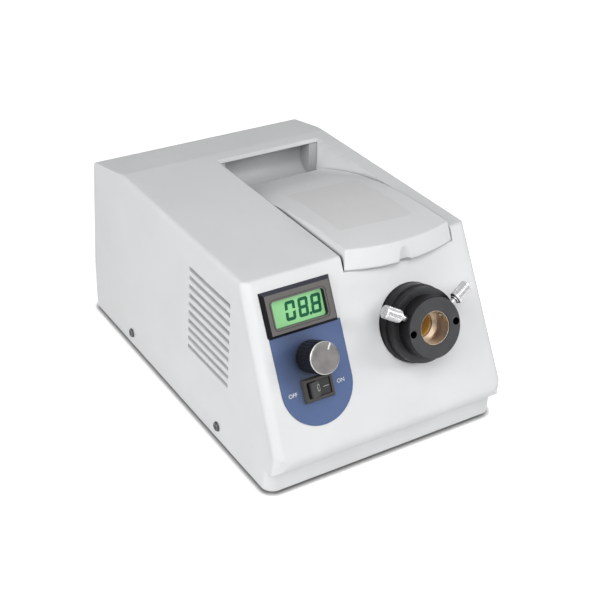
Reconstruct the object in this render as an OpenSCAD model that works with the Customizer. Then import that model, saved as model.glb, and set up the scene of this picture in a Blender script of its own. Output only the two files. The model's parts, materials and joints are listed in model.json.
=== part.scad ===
// Fibre-optic cold-light source: a bench lamp box with a sloping control face, a hinged lamp lid,
// a carrying pocket and a clamping collar for a light guide.
// +Z is up, -Y is the front and the origin is under the middle of the whole object, at the feet.
// Lengths are in millimetres and angles in degrees.

/* [Housing] */
// Width across the foot of the housing
body_w = 172; // [168:0.5:180]
// Depth of the skirt, front to rear
skirt_d = 256.5; // [252:0.5:264]
// Height of the flat top above the lower edge of the skirt
body_h = 123.6; // [121:0.1:127]
// Thickness of the moulded walls
wall = 3; // [2.4:0.1:3.2]
// Lean of the control face from vertical
face_tilt = 27; // [25:0.5:29]
// Inward slope of the side walls, per unit of height
side_draft = 0.04; // [0.02:0.005:0.05]
// Radius of the nose that runs along the foot of the control face
nose_r = 9.5; // [8.5:0.1:10.5]
// How far the nose stands ahead of the skirt
nose_reach = 9; // [8:0.1:10]
// Height of the middle of the nose
nose_z = 24.8; // [24:0.1:26]
// Distance from the rear of the skirt to the ridge of the rear slope
ridge_back = 51.2; // [48:0.1:54]
// Fall of the rear slope, from the flat top to its rear edge
rear_fall = 8.3; // [6.5:0.1:10.5]
// How far the rear wall is set in from the skirt
rear_step = 2.9; // [2:0.1:4]
// Height at which the skirt steps in at the rear
skirt_h = 24; // [22:0.5:26]
// Radius of the edges along the top
top_edge_r = 3; // [1.5:0.1:3.5]
// Radius of the sloping edges beside the control face
face_edge_r = 6; // [4:0.5:7]
// Radius of the upright corners of the skirt
skirt_r = 8; // [6:0.5:9]

/* [Side vents] */
// Number of slots on each side
vent_count = 10; // [6:1:11]
// Length of a slot
vent_len = 52.4; // [40:0.2:56]
// Height of a slot
vent_h = 3; // [2:0.1:3.6]
// Distance from one slot to the next
vent_pitch = 6.25; // [5.5:0.05:6.4]
// Middle of the slots, from the middle of the skirt
vent_y = -49.3; // [-52:0.1:-44]
// Height of the lowest slot's underside
vent_z = 44.5; // [42:0.5:48]

/* [Lid and recess] */
// Width of the recess that holds the lamp lid and the grip
recess_w = 82; // [80:0.5:84]
// Sideways place of the recess and of the lamp, as a share of the width
recess_place = 0.157; // [0.151:0.001:0.162]
// Play between the lid and each side of its recess
lid_gap = 0.6; // [0.4:0.1:1]
// Radius of the lid's long curve, front to rear
lid_r = 365; // [355:1:380]
// Height of the lid's crown above the flat top
lid_rise = 4.7; // [4:0.1:5.2]
// Place of the crown, from the middle of the skirt
lid_crown_y = -75; // [-78:0.5:-72]
// Depth of the lid's rim
lid_rim = 12.5; // [11.5:0.1:13]
// Thickness of the lid
lid_wall = 2.4; // [2:0.1:2.8]
// Narrowing of the lid on each side, from rim to crown
lid_taper = 2.2; // [1.5:0.1:3]
// Radius of the lid's bowed front, seen from above
lid_bow_r = 125; // [115:1:140]
// Backward lean of the lid's front lip
lid_lip_tilt = 16; // [14:0.5:18]
// How far the lip's middle stands ahead of the control face's upper edge
lid_lip_reach = 7.1; // [6.8:0.1:8]
// Radius of the finger scoop in the lip
scoop_r = 6; // [5:0.5:9]
// Depth of the finger scoop at its lower end
scoop_depth = 2.6; // [1:0.1:3]
// Wall behind the finger scoop
scoop_wall = 1.6; // [1.2:0.1:2]
// Radius of the hinge barrel at the lid's rear
barrel_r = 3.5; // [3.2:0.1:3.8]
// Place of the hinge, from the middle of the skirt
hinge_y = 55.8; // [54:0.1:57]
// Radius of the hinge pins
pin_r = 1.5; // [1.2:0.1:1.8]

/* [Grip pocket] */
// Front plane of the grip, from the middle of the skirt
grip_y = 66.7; // [65.5:0.1:68]
// Radius of the finger trough
trough_r = 12; // [11:0.1:12.4]
// Width of each upright beside the trough
upright_w = 6.5; // [5.5:0.1:7.5]
// Thickness of the trough's shell
trough_wall = 2; // [1.6:0.1:2.4]

/* [Light guide collar] */
// Distance of the collar's middle below the face's upper edge, along the face
collar_drop = 51.6; // [51:0.1:53]
// Rise of the light guide's axis above level
guide_tilt = 20; // [19:0.5:22]
// Length of the collar ahead of the face
collar_len = 22.6; // [21.5:0.1:24]
// Radius of the collar's flange
flange_r = 24.6; // [24.2:0.1:25]
// Radius of the collar's middle step
step_r = 23.6; // [23:0.1:24]
// Height of the middle step ahead of the face
step_h = 12; // [11:0.1:13]
// Radius of the collar's barrel
collar_r = 19.2; // [19:0.1:19.6]
// Radius of the bore that takes the light guide
guide_bore_r = 10.2; // [9.8:0.1:10.6]
// Depth of that bore
guide_bore_len = 14.6; // [13.5:0.1:15.5]
// Radius of the knurled heads of the thumb screws
thumb_r = 4.1; // [3.8:0.1:5]
// Length of the knurled heads
thumb_len = 11.7; // [10:0.1:13]
// Radius of the thumb screws' threads
thumb_thread_r = 2; // [1.8:0.1:2.2]

/* [Control face] */
// Sideways place of the meter, as a share of the width
meter_place = -0.2837; // [-0.288:0.0001:-0.28]
// Sideways place of the overlay, the knob and the switch, as a share of the width
panel_place = -0.2785; // [-0.282:0.0001:-0.275]
// Width of the meter's bezel
meter_w = 48.4; // [47:0.1:48.8]
// Height of the meter's bezel
meter_h = 28.4; // [27.5:0.1:29]
// Distance from the face's upper edge to the meter
meter_drop = 7.7; // [7:0.1:8.5]
// How far the bezel stands proud
bezel_t = 2.6; // [2:0.1:3]
// Radius of the knob
knob_r = 10; // [9.5:0.1:10.3]
// Height of the knob's top above the face
knob_h = 17.4; // [16:0.1:18.5]
// Distance from the face's upper edge to the knob's middle
knob_drop = 52; // [51.8:0.1:52.3]
// Angle of the knob's pointer from straight up
pointer_angle = -34; // [-60:1:60]
// Width of the switch's bezel
switch_w = 20.9; // [20.4:0.1:21.4]
// Height of the switch's bezel
switch_h = 14.8; // [14.4:0.1:15.2]
// Distance from the face's upper edge to the switch's middle
switch_drop = 71.2; // [70.9:0.1:71.8]
// Half the travel of the switch's paddle
switch_throw = 11; // [8:0.5:12]
// Thickness of the coloured overlay
overlay_t = 0.5; // [0.3:0.1:0.8]
// Width of the overlay
overlay_w = 48.9; // [48:0.1:50]
// Distance from the face's upper edge to the overlay's round end
overlay_drop = 93.8; // [92:0.1:95]

/* [Lamp] */
// Radius of the reflector lamp's rim
lamp_r = 25.4; // [25:0.1:25.6]
// Depth of the lamp's reflector
lamp_d = 26; // [24:0.5:28]
// Distance from the control face to the lamp's rim, along the axis
lamp_back = 46; // [44:0.5:48]
// Thickness of the bracket's sheet metal
sheet = 1.5; // [1.2:0.1:2]

/* [Fan] */
// Gap between the square fan and the edges of the rear window
fan_clear = 0.75; // [0.5:0.05:2]
// Thickness of the fan
fan_t = 25; // [20:0.5:26]
// Number of blades
blade_count = 7; // [5:1:9]

/* [Base and feet] */
// Radius of a rubber foot
foot_r = 8; // [6:0.5:9]
// Gap between the table and the skirt
foot_gap = 2.5; // [2:0.1:4]
// Height of the side screws above the skirt's lower edge
side_screw_z = 8.7; // [8:0.1:10]

/* [Hidden] */
$fn = 48;

seat = 0.3;            // gap between pieces that are fitted loosely
running = 0.05;        // gap between a shaft and its bore
touch = 0.02;          // gap between pieces that rest on each other
far = 400;             // longer than anything in the model

// Places that several pieces share
face_z = body_h;
rear_h = body_h - rear_fall;
function face_y(z) = nose_y - (nose_r - (z - nose_z) * sin(face_tilt)) / cos(face_tilt);
rear_y = skirt_d / 2;
nose_y = -skirt_d / 2 - nose_reach + nose_r;
face_top_y = face_y(face_z);
ridge_y = rear_y - ridge_back;
wall_rear_y = rear_y - rear_step;
rear_lean = 0.027;
foot_w = body_w / 2;
function half_w(z) = foot_w - side_draft * z;
recess_x = recess_place * body_w;
meter_x = meter_place * body_w;
panel_x = panel_place * body_w;
recess_l = recess_x - recess_w / 2;
recess_r = recess_x + recess_w / 2;
skin_z = body_h - wall;

// The light guide's axis leaves the control face at guide_point
guide_point = [recess_x, face_top_y - collar_drop * sin(face_tilt), face_z - collar_drop * cos(face_tilt)];
collar_chamfer = 0.5;
front_y = guide_point[1] - collar_len * cos(guide_tilt) - (collar_r - collar_chamfer) * sin(guide_tilt);
middle_y = (rear_y + front_y) / 2;

// The lid's curve
lid_centre = [lid_crown_y, body_h + lid_rise - lid_r];
hinge_z = lid_centre[1] + sqrt(pow(lid_r - barrel_r, 2) - pow(hinge_y - lid_centre[0], 2));
rim_r = lid_r - lid_rim;
lip_y = face_top_y - lid_lip_reach;
lip_low_z = lid_centre[1] + sqrt(pow(rim_r, 2) - pow(face_top_y - 4 - lid_centre[0], 2));

module placed() {
    translate([0, -middle_y, foot_gap]) children();
}
module slab_x(x0, x1) {
    translate([x0, 0, 0]) rotate([90, 0, 90]) linear_extrude(x1 - x0) children();
}
module slab_y(y0, y1) {
    translate([0, y1, 0]) rotate([90, 0, 0]) linear_extrude(y1 - y0) children();
}
module box(low, high) {
    translate(low) cube(high - low);
}
// On the control face: x across, y up the face, z outwards
module on_face(x, drop) {
    translate([x, face_top_y, face_z]) rotate([90 - face_tilt, 0, 0]) translate([0, -drop, 0]) children();
}
// On the light guide's axis: x across, y upwards, z out of the collar
module on_axis() {
    translate(guide_point) rotate([90 - guide_tilt, 0, 0]) children();
}
module tube(r, bore, z0, z1) {
    difference() {
        translate([0, 0, z0]) cylinder(r = r, h = z1 - z0);
        translate([0, 0, z0 - 1]) cylinder(r = bore, h = z1 - z0 + 2);
    }
}
// Cross recess in a screw head, from z upwards
module cross_recess(across, width, z) {
    for (a = [0, 90])
        rotate([0, 0, a]) translate([-across / 2, -width / 2, z]) cube([across, width, 2]);
}
module rod(r, z0, z1) {
    translate([0, 0, z0]) cylinder(r = r, h = z1 - z0);
}

// Outlines with true arcs at their convex corners
function unit(v) = v / norm(v);
function half_angle(a, p, b) = acos(unit(a - p) * unit(b - p)) / 2;
function inset_corner(a, p, b, d) = p + unit(unit(a - p) + unit(b - p)) * d / sin(half_angle(a, p, b));
function before(i, n) = (i + n - 1) % n;
function after(i, n) = (i + 1) % n;
function inset_outline(p, d) = let (n = len(p))
    [for (i = [0 : n - 1]) d == 0 ? p[i] : inset_corner(p[before(i, n)], p[i], p[after(i, n)], d)];
module rounded_outline(p, r) {
    n = len(p);
    polygon([for (i = [0 : n - 1])
        let (a = p[before(i, n)], b = p[after(i, n)], t = r[i] / tan(half_angle(a, p[i], b)))
        each (r[i] > 0 ? [p[i] + unit(a - p[i]) * t, p[i] + unit(b - p[i]) * t] : [p[i]])]);
    for (i = [0 : n - 1])
        if (r[i] > 0)
            translate(inset_corner(p[before(i, n)], p[i], p[after(i, n)], r[i])) circle(r = r[i]);
}
module rounded_plate(w, d, r) {
    rounded_outline([[-w / 2, -d / 2], [w / 2, -d / 2], [w / 2, d / 2], [-w / 2, d / 2]], [r, r, r, r]);
}

// The housing from the side, from the front and from above
nose_low = nose_z - nose_r;
rear_top_y = wall_rear_y - rear_lean * (rear_h - skirt_h);
side_points = [[face_y(nose_low), nose_low], [face_top_y, body_h], [ridge_y, body_h],
               [rear_top_y, rear_h], [wall_rear_y, nose_low]];
module side_outline(inset) {
    rounded_outline(inset_outline(side_points, inset),
                    [nose_r - inset, max(top_edge_r - inset, 0), 0, max(5 - inset, 0), 0]);
}
module front_outline(inset) {
    rounded_outline(inset_outline([[-half_w(-20), -20], [half_w(-20), -20],
                                   [half_w(body_h), body_h], [-half_w(body_h), body_h]], inset),
                    [0, 0, max(top_edge_r - inset, 0), max(top_edge_r - inset, 0)]);
}
module skirt_outline() {
    polygon([[-rear_y, 0], [rear_y, 0], [rear_y, skirt_h], [wall_rear_y, skirt_h + 7], [-rear_y, nose_z]]);
}
module plan_outline(front, r_front) {
    rounded_outline([[-foot_w, front], [foot_w, front], [foot_w, rear_y], [-foot_w, rear_y]],
                    [r_front, r_front, skirt_r, skirt_r]);
}
// Wedge that rounds one sloping edge of the control face
module face_edge_cut(side) {
    turn = atan(side_draft * cos(face_tilt));
    on_face(side * half_w(face_z), 0)
        rotate([0, 0, side * turn])
            difference() {
                translate([-side * face_edge_r, -far / 2, -face_edge_r])
                    mirror([side < 0 ? 1 : 0, 0, 0]) cube([far / 8, far, far / 8]);
                translate([-side * face_edge_r, far / 2 + 1, -face_edge_r])
                    rotate([90, 0, 0]) cylinder(r = face_edge_r, h = far + 2);
            }
}
module housing_block() {
    difference() {
        intersection() {
            union() {
                intersection() {
                    slab_x(-foot_w - 1, foot_w + 1) side_outline(0);
                    linear_extrude(far) plan_outline(-rear_y - nose_reach, skirt_r + 2);
                }
                intersection() {
                    slab_x(-foot_w - 1, foot_w + 1) skirt_outline();
                    linear_extrude(far) plan_outline(-rear_y, skirt_r);
                }
            }
            slab_y(-far, far) front_outline(0);
        }
        face_edge_cut(1);
        face_edge_cut(-1);
    }
}
skirt_in_x = half_w(skirt_h) - wall;
skirt_in_y = rear_y - wall;
module housing_cavity() {
    intersection() {
        slab_x(-far, far) side_outline(wall);
        slab_y(-far, far) front_outline(wall);
    }
    box([-skirt_in_x, -skirt_in_y, -1], [skirt_in_x, skirt_in_y, nose_low + wall + 1]);
}

// Side view of the walls that line the recess, and of the ledge that the lid rests on
ledge_gap = 0.3;
module recess_wall_outline() {
    intersection() {
        side_outline(0);
        difference() {
            translate([-far / 2, nose_z]) square([far / 2 + grip_y + trough_r + trough_wall + 1, far]);
            translate(lid_centre) circle(r = rim_r - 7, $fn = 360);
        }
    }
}
module ledge_outline() {
    intersection() {
        translate([face_top_y + 6, nose_z]) square([hinge_y - barrel_r - 12 - face_top_y - 6, far]);
        difference() {
            translate(lid_centre) circle(r = rim_r - ledge_gap, $fn = 360);
            translate(lid_centre) circle(r = rim_r - 3, $fn = 360);
        }
    }
}
module front_cut(w, h, drop, x) {
    on_face(x, drop) translate([-w / 2, -h / 2, -wall * 3]) cube([w, h, wall * 6]);
}
module vents() {
    for (i = [0 : vent_count - 1])
        box([-far, vent_y - vent_len / 2, vent_z + i * vent_pitch],
            [far, vent_y + vent_len / 2, vent_z + i * vent_pitch + vent_h]);
}
panel_w = 2 * (half_w(rear_h) - wall - 1);
window_w = panel_w - 6;
window_z0 = skirt_h + 1.5;
window_z1 = rear_h - 8.3;
side_screw_y = [-64.2, 61.5];
side_screw_r = 2;
meter_body = [44.6, 25.6];
switch_body = [19, 13];
bush_r = 3.5;
recess_wall = 2.4;
lip_clear = 0.5;

module upper_housing() {
    color("gainsboro") placed() {
        difference() {
            union() {
                difference() {
                    housing_block();
                    housing_cavity();
                }
                for (x = [recess_l - recess_wall, recess_r])
                    slab_x(x, x + recess_wall) recess_wall_outline();
            }
            // the recess, from the grip to the control face
            box([recess_l, -far, skin_z - 1], [recess_r, grip_y, far]);
            box([recess_l, -far, lip_low_z - lip_clear], [recess_r, face_top_y + 6, far]);
            vents();
            front_cut(meter_body[0] + seat, meter_body[1] + seat, meter_mid, meter_x);
            front_cut(switch_body[0] + seat, switch_body[1] + seat, switch_drop, panel_x);
            on_face(panel_x, knob_drop) rod(bush_r + seat / 2, -wall * 3, wall * 3);
            on_axis() rod(flange_r + seat, -30, 30);
            box([-window_w / 2, wall_rear_y - 12, window_z0], [window_w / 2, far, window_z1]);
            for (y = side_screw_y)
                translate([0, y, side_screw_z]) rotate([0, 90, 0])
                    translate([0, 0, -far / 2]) cylinder(r = side_screw_r + running, h = far);
            translate([recess_l - recess_wall - 1, hinge_y, hinge_z]) rotate([0, 90, 0])
                cylinder(r = pin_r + running, h = recess_w + 2 * recess_wall + 2);
        }
        for (x = [recess_l - 0.01, recess_r - 2])
            slab_x(x, x + 2.01) ledge_outline();
    }
}

// Base tray
tray_z = 1;
tray_t = 1.5;
tray_top = tray_z + tray_t;
tray_x = skirt_in_x - seat;
tray_y = skirt_in_y - seat;
flange_top = 18;
flange_y = tray_y - 41;
foot_x = tray_x - 15.7;
foot_y = tray_y - 27;
stem_r = 2.5;
screw_r = 1.5;

module base_tray() {
    color("silver") placed() {
        difference() {
            union() {
                translate([0, 0, tray_z]) linear_extrude(tray_t)
                    rounded_plate(2 * tray_x, 2 * tray_y, skirt_r - wall);
                for (side = [-1, 1])
                    box([side * tray_x - (side > 0 ? tray_t : 0), -flange_y, tray_z],
                        [side * tray_x + (side > 0 ? 0 : tray_t), flange_y, flange_top]);
            }
            for (y = side_screw_y)
                translate([-far / 2, y, side_screw_z]) rotate([0, 90, 0])
                    cylinder(r = side_screw_r + running, h = far);
            for (x = [-foot_x, foot_x], y = [-foot_y, foot_y])
                translate([x, y, 0]) rod(stem_r + running, 0, 5);
            for (p = screw_places)
                translate([p[0], p[1], 0]) rod(screw_r + running, 0, 5);
            for (i = [0 : 4])
                translate([board_x0 + 18 + i * 8, board_y0 + 44, 0]) cube([4, 40, 5]);
        }
    }
}
module rubber_feet() {
    color("dimgray") placed()
        for (x = [-foot_x, foot_x], y = [-foot_y, foot_y])
            translate([x, y, 0]) {
                translate([0, 0, -foot_gap]) cylinder(r1 = foot_r - 1, r2 = foot_r, h = foot_gap + tray_z);
                rod(stem_r, 0.5, tray_top + 1.5);
            }
}
module side_screws() {
    head_r = 3.4;
    head_x = half_w(side_screw_z - head_r) + touch;
    color("silver") placed()
        for (side = [-1, 1], y = side_screw_y)
            translate([0, y, side_screw_z]) rotate([0, 90 * side, 0]) difference() {
                union() {
                    rod(side_screw_r, tray_x - tray_t - 2, head_x + 0.5);
                    translate([0, 0, head_x]) cylinder(r1 = head_r, r2 = head_r - 0.7, h = 1.3);
                }
                cross_recess(4, 0.8, head_x + 0.6);
            }
}

// Rear panel, seen through the window in the housing's rear wall
panel_t = 1.5;
panel_in_y = rear_top_y - wall - panel_t - 0.6;
panel_out_y = panel_in_y + panel_t;
panel_top = rear_h - wall - 2;
fan_w = window_z1 - window_z0 - 2 * fan_clear;
fan_z = (window_z0 + window_z1) / 2;
fan_pitch = 0.447 * fan_w;
duct_r = fan_w / 2 - 1.8;
fan_screw_r = 2.1;
inlet_x = -panel_w / 2 + 31.4;
inlet_z = 62;
inlet_body = [29, 32];
inlet_screw_x = [-20, 20];
module on_rear(x, z) {
    translate([x, panel_out_y, z]) rotate([90, 0, 180]) children();
}
module fan_corners() {
    for (x = [-fan_pitch, fan_pitch], y = [-fan_pitch, fan_pitch])
        translate([x, y, 0]) children();
}
module rear_panel() {
    color("gainsboro") placed() difference() {
        union() {
            box([-panel_w / 2, panel_in_y, tray_top], [panel_w / 2, panel_out_y, panel_top]);
            box([-panel_w / 2, panel_in_y - 14, tray_top], [panel_w / 2, panel_out_y, tray_top + panel_t]);
        }
        on_rear(recess_x, fan_z) {
            rod(duct_r - 1, -10, 10);
            fan_corners() rod(fan_screw_r + running, -10, 10);
        }
        on_rear(inlet_x, inlet_z) {
            translate([-(inlet_body[0] + seat) / 2, -(inlet_body[1] + seat) / 2, -5])
                cube([inlet_body[0] + seat, inlet_body[1] + seat, 10]);
            for (x = inlet_screw_x) translate([x, 0, 0]) rod(screw_r + running, -5, 5);
        }
        for (p = screw_places)
            translate([p[0], p[1], 0]) rod(screw_r + running, 0, 5);
    }
}

// Lamp lid
lid_top_z = body_h + lid_rise;
lid_half = recess_w / 2 - lid_gap;
module lid_form(inset) {
    intersection() {
        translate([-far / 2, lid_centre[0], lid_centre[1]]) rotate([0, 90, 0])
            cylinder(r = lid_r - inset, h = far, $fn = 360);
        translate([recess_x, 0, 0]) slab_y(-far, far)
            polygon([[-lid_half + inset, 0], [lid_half - inset, 0], [lid_half - inset, lip_low_z],
                     [lid_half - lid_taper - inset, lid_top_z], [-lid_half + lid_taper + inset, lid_top_z],
                     [-lid_half + inset, lip_low_z]]);
        translate([recess_x, lip_y + lid_bow_r / cos(lid_lip_tilt), lid_top_z]) rotate([-lid_lip_tilt, 0, 0])
            translate([0, 0, -far / 2]) cylinder(r = lid_bow_r - inset, h = far, $fn = 240);
        translate([0, hinge_y, hinge_z]) rotate([-lid_rear_angle, 0, 0])
            box([-far, -far, -far], [far, inset > 0 ? -barrel_r : 0, far]);
    }
}
lid_rear_angle = asin((hinge_y - lid_centre[0]) / (lid_r - barrel_r));
lip_low_y = lip_y - (lid_top_z - lip_low_z) * tan(lid_lip_tilt);
scoop_y = lip_low_y + scoop_depth - scoop_r;
lid_rib_x = [-24, 0, 24];
module lamp_lid() {
    color("gainsboro") placed() difference() {
        union() {
            difference() {
                lid_form(0);
                difference() {
                    lid_form(lid_wall);
                    for (x = lid_rib_x)
                        slab_x(recess_x + x - 0.8, recess_x + x + 0.8) difference() {
                            translate(lid_centre) circle(r = lid_r, $fn = 360);
                            translate(lid_centre) circle(r = lid_r - lid_wall - 3, $fn = 360);
                        }
                    translate([recess_x, scoop_y, 0]) rod(scoop_r + scoop_wall, nose_z, lid_top_z);
                }
            }
            translate([recess_x - lid_half, hinge_y, hinge_z]) rotate([0, 90, 0])
                cylinder(r = barrel_r, h = 2 * lid_half);
        }
        translate([-far / 2, lid_centre[0], lid_centre[1]]) rotate([0, 90, 0])
            difference() {
                cylinder(r = rim_r, h = far, $fn = 360);
                translate([lid_centre[1] - hinge_z, hinge_y - lid_centre[0], -1])
                    cylinder(r = barrel_r + 0.01, h = far + 2);
            }
        translate([recess_x - lid_half - 1, hinge_y, hinge_z]) rotate([0, 90, 0])
            cylinder(r = pin_r + running, h = 2 * lid_half + 2);
        translate([recess_x, scoop_y, 0]) rod(scoop_r, nose_z, lid_top_z - 1);
    }
}
module lid_hinge_pins() {
    head = recess_w / 2 + recess_wall + seat;
    color("silver") placed()
        for (side = [-1, 1])
            translate([recess_x, hinge_y, hinge_z]) rotate([0, 90 * side, 0]) {
                rod(pin_r, recess_w / 2 - 12, head + 1);
                rod(pin_r + 1.2, head, head + 1);
            }
}

// Grip pocket behind the lid
trough_z = skin_z - 0.1 - trough_r;
grip_in_l = recess_l + seat + upright_w;
grip_in_r = recess_r - seat - upright_w;
tongue_y = hinge_y + barrel_r + 1.2;
module handle_pocket() {
    color("lightgray") placed() difference() {
        slab_x(recess_l + seat, recess_r - seat) {
            intersection() {
                translate([grip_y, trough_z]) circle(r = trough_r + trough_wall);
                translate([grip_y, 0]) square([far, skin_z - seat]);
            }
            translate([tongue_y, trough_z - trough_r - trough_wall])
                square([grip_y - tongue_y + 1, trough_wall]);
        }
        translate([grip_in_l, grip_y, trough_z]) rotate([0, 90, 0])
            cylinder(r = trough_r, h = grip_in_r - grip_in_l);
    }
}

// Control face
module bevelled_block(w, h, z0, z1, bevel) {
    intersection() {
        slab_y(-h / 2, h / 2)
            polygon([[-w / 2, z0], [w / 2, z0], [w / 2 - bevel, z1], [-w / 2 + bevel, z1]]);
        slab_x(-w / 2, w / 2)
            polygon([[-h / 2, z0], [h / 2, z0], [h / 2 - bevel, z1], [-h / 2 + bevel, z1]]);
    }
}
module plate_at(w, h, z0, z1) {
    translate([-w / 2, -h / 2, z0]) cube([w, h, z1 - z0]);
}
meter_mid = meter_drop + meter_h / 2;
window_size = [35.6, 16.2];
window_at = [-0.4, -0.6];
overlay_tuck = 1.2;
window_corner = 1.6;
window_z = bezel_t - 3.5;
window_t = 0.9;
module front_overlay() {
    r = overlay_w / 2;
    top = meter_drop + meter_h - overlay_tuck;
    color("slateblue") placed() difference() {
        on_face(panel_x, 0) linear_extrude(overlay_t) {
            translate([-r, -overlay_drop + r]) square([overlay_w, overlay_drop - r - top]);
            translate([0, -overlay_drop + r]) circle(r = r);
        }
        on_face(panel_x, switch_drop) plate_at(switch_body[0] + seat, switch_body[1] + seat, -1, 2);
        on_face(panel_x, knob_drop) rod(bush_r + seat / 2, -1, 2);
    }
}
module on_window(z0, z1, grow) {
    translate([window_at[0], window_at[1], z0]) linear_extrude(z1 - z0)
        rounded_plate(window_size[0] + 2 * grow, window_size[1] + 2 * grow, window_corner + grow);
}
module meter_case() {
    color("dimgray") placed() on_face(meter_x, meter_mid) difference() {
        union() {
            difference() {
                bevelled_block(meter_w, meter_h, touch, bezel_t, 2.3);
                translate([0, -meter_h / 2, 0])
                    plate_at(far, 2 * overlay_tuck + 0.2, -1, overlay_t + touch);
            }
            plate_at(meter_body[0], meter_body[1], -20, overlay_t + 0.5);
            for (x = [-16, -8, 0, 8, 16])
                translate([x, 0, 0]) plate_at(1.2, 3, -26, -19);
        }
        on_window(window_z - window_t, bezel_t + 1, running);
        difference() {
            on_window(bezel_t - 0.3, bezel_t + 1, 1.4);
            on_window(bezel_t - 1, bezel_t + 2, 0.9);
        }
    }
}
module meter_window() {
    color("palegreen") placed() on_face(meter_x, meter_mid) on_window(window_z - window_t, window_z, 0);
}
knob_base = overlay_t + 0.6;
cap_t = 1.4;
shaft_r = 3;
module brightness_knob() {
    color("black") placed() on_face(panel_x, knob_drop) difference() {
        rod(knob_r, knob_base, knob_h - cap_t);
        difference() {
            rod(knob_r - 2, 0, 9);
            rod(shaft_r + 1.6, bush_top + 0.6, 10);
        }
        rod(shaft_r + running, 0, knob_h - cap_t - 2);
        for (i = [0 : 23])
            rotate([0, 0, i * 15]) translate([knob_r + 0.25, 0, 0]) cylinder(r = 0.6, h = 30);
    }
}
module knob_cap() {
    r = knob_r - 0.25;
    color("silver") placed() on_face(panel_x, knob_drop) difference() {
        rotate_extrude() polygon([[0, knob_h - cap_t], [r, knob_h - cap_t], [r, knob_h - 0.6],
                                  [r - 0.7, knob_h], [0, knob_h]]);
        rotate([0, 0, pointer_angle]) translate([-0.55, r - 4.7, knob_h - 0.3]) cube([1.1, 4.2, 1]);
    }
}
bush_top = overlay_t + 3.4;
module knob_shaft() {
    color("silver") placed() on_face(panel_x, knob_drop) rod(shaft_r, -wall - 7, knob_h - cap_t - 2.4);
}
module potentiometer() {
    body_r = 8.2;
    color("gray") placed() on_face(panel_x, knob_drop) difference() {
        union() {
            rod(body_r, -wall - 10, -wall);
            rod(bush_r, -wall - 1, bush_top);
            translate([0, 0, overlay_t]) cylinder(r = 5.8, h = 2.3, $fn = 6);
            for (x = [-4, 0, 4]) translate([x, body_r + 2, 0]) plate_at(1.6, 6, -wall - 5, -wall - 4);
        }
        rod(shaft_r + running, -wall - 7.5, bush_top + 1);
    }
}
switch_top = overlay_t + 1.9;
well = [16, 9.8];
pivot_z = 0.4;
pivot_r = 0.8;
module rocker_frame() {
    color("dimgray") placed() on_face(panel_x, switch_drop) difference() {
        union() {
            bevelled_block(switch_w, switch_h, overlay_t, switch_top, 0.9);
            plate_at(switch_body[0], switch_body[1], -15, overlay_t + 0.3);
            for (x = [-5, 5]) translate([x, 0, 0]) plate_at(0.8, 4.8, -23, -14);
        }
        plate_at(well[0], well[1], -8, 10);
        translate([0, switch_body[1] / 2 + 0.5, pivot_z]) rotate([90, 0, 0])
            cylinder(r = pivot_r + running, h = switch_body[1] + 1);
    }
}
module rocker_paddle() {
    w = well[0] / 2 - 0.4;
    d = well[1] / 2 - 0.25;
    color("black") placed() on_face(panel_x, switch_drop) translate([0, 0, pivot_z])
        rotate([0, switch_throw, 0]) {
            slab_y(-d, d)
                polygon([[-w + 0.5, -2.2], [-3, -6], [3, -6], [w - 0.5, -2.2], [w, 2.4], [w - 0.8, 2.9],
                         [0, 1.6], [-w + 0.8, 2.9], [-w, 2.4]]);
            rotate([90, 0, 0]) rod(pivot_r, -d - 0.9, d + 0.9);
        }
}

// Light guide collar
hub_end = -12;
bush_out_r = guide_bore_r + 0.7;
bush_end = collar_len - 0.2;
shoulder_z = collar_len - guide_bore_len;
shoulder_t = 2;
tube_r = guide_bore_r - 2;
thumb_z = collar_len - 4.9;
thumb_angles = [150, 30];
collar_screw_at = collar_r - 3.3;
cap_head_r = 2.2;
module thumb_place(angle) {
    on_axis() rotate([0, 0, angle]) translate([0, 0, thumb_z]) rotate([0, 90, 0]) children();
}
module guide_collar() {
    color("darkslategray") placed() difference() {
        on_axis() difference() {
            union() {
                rod(flange_r - 8, hub_end, -6);
                rod(flange_r, -7, 5.2);
                rod(step_r, 5, step_h);
                rotate_extrude() polygon([[0, 5], [collar_r, 5], [collar_r, collar_len - collar_chamfer],
                                          [collar_r - collar_chamfer, collar_len], [0, collar_len]]);
            }
            rod(bush_out_r + touch, shoulder_z - shoulder_t, collar_len + 1);
            rod(guide_bore_r, hub_end - 1, collar_len);
            for (x = [-collar_screw_at, collar_screw_at]) translate([x, 0, 0]) {
                rod(cap_head_r + seat / 2, step_h - 4, collar_len + 1);
                rod(screw_r + running, hub_end - 1, collar_len);
            }
        }
        for (a = thumb_angles)
            thumb_place(a) rod(thumb_thread_r + running, 5, 30);
    }
}
module collar_bush() {
    color("silver") placed() difference() {
        on_axis() difference() {
            rod(bush_out_r, shoulder_z - shoulder_t, bush_end);
            rod(guide_bore_r, shoulder_z, collar_len + 1);
            rod(tube_r + 0.2, shoulder_z - shoulder_t - 1, collar_len);
        }
        for (a = thumb_angles)
            thumb_place(a) rod(thumb_thread_r + running, 5, 30);
    }
}
module guide_tube() {
    color("goldenrod") placed() on_axis()
        tube(guide_bore_r - touch, tube_r, hub_end, shoulder_z - shoulder_t);
}
module collar_screws() {
    color("dimgray") placed() on_axis()
        for (x = [-collar_screw_at, collar_screw_at]) translate([x, 0, 0]) difference() {
            union() {
                rod(screw_r, hub_end - sheet + 0.2, step_h - 3);
                rod(cap_head_r, step_h - 4, step_h - 1.2);
            }
            translate([0, 0, step_h - 2.6]) cylinder(r = 1.2, h = 5, $fn = 6);
        }
}
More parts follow.
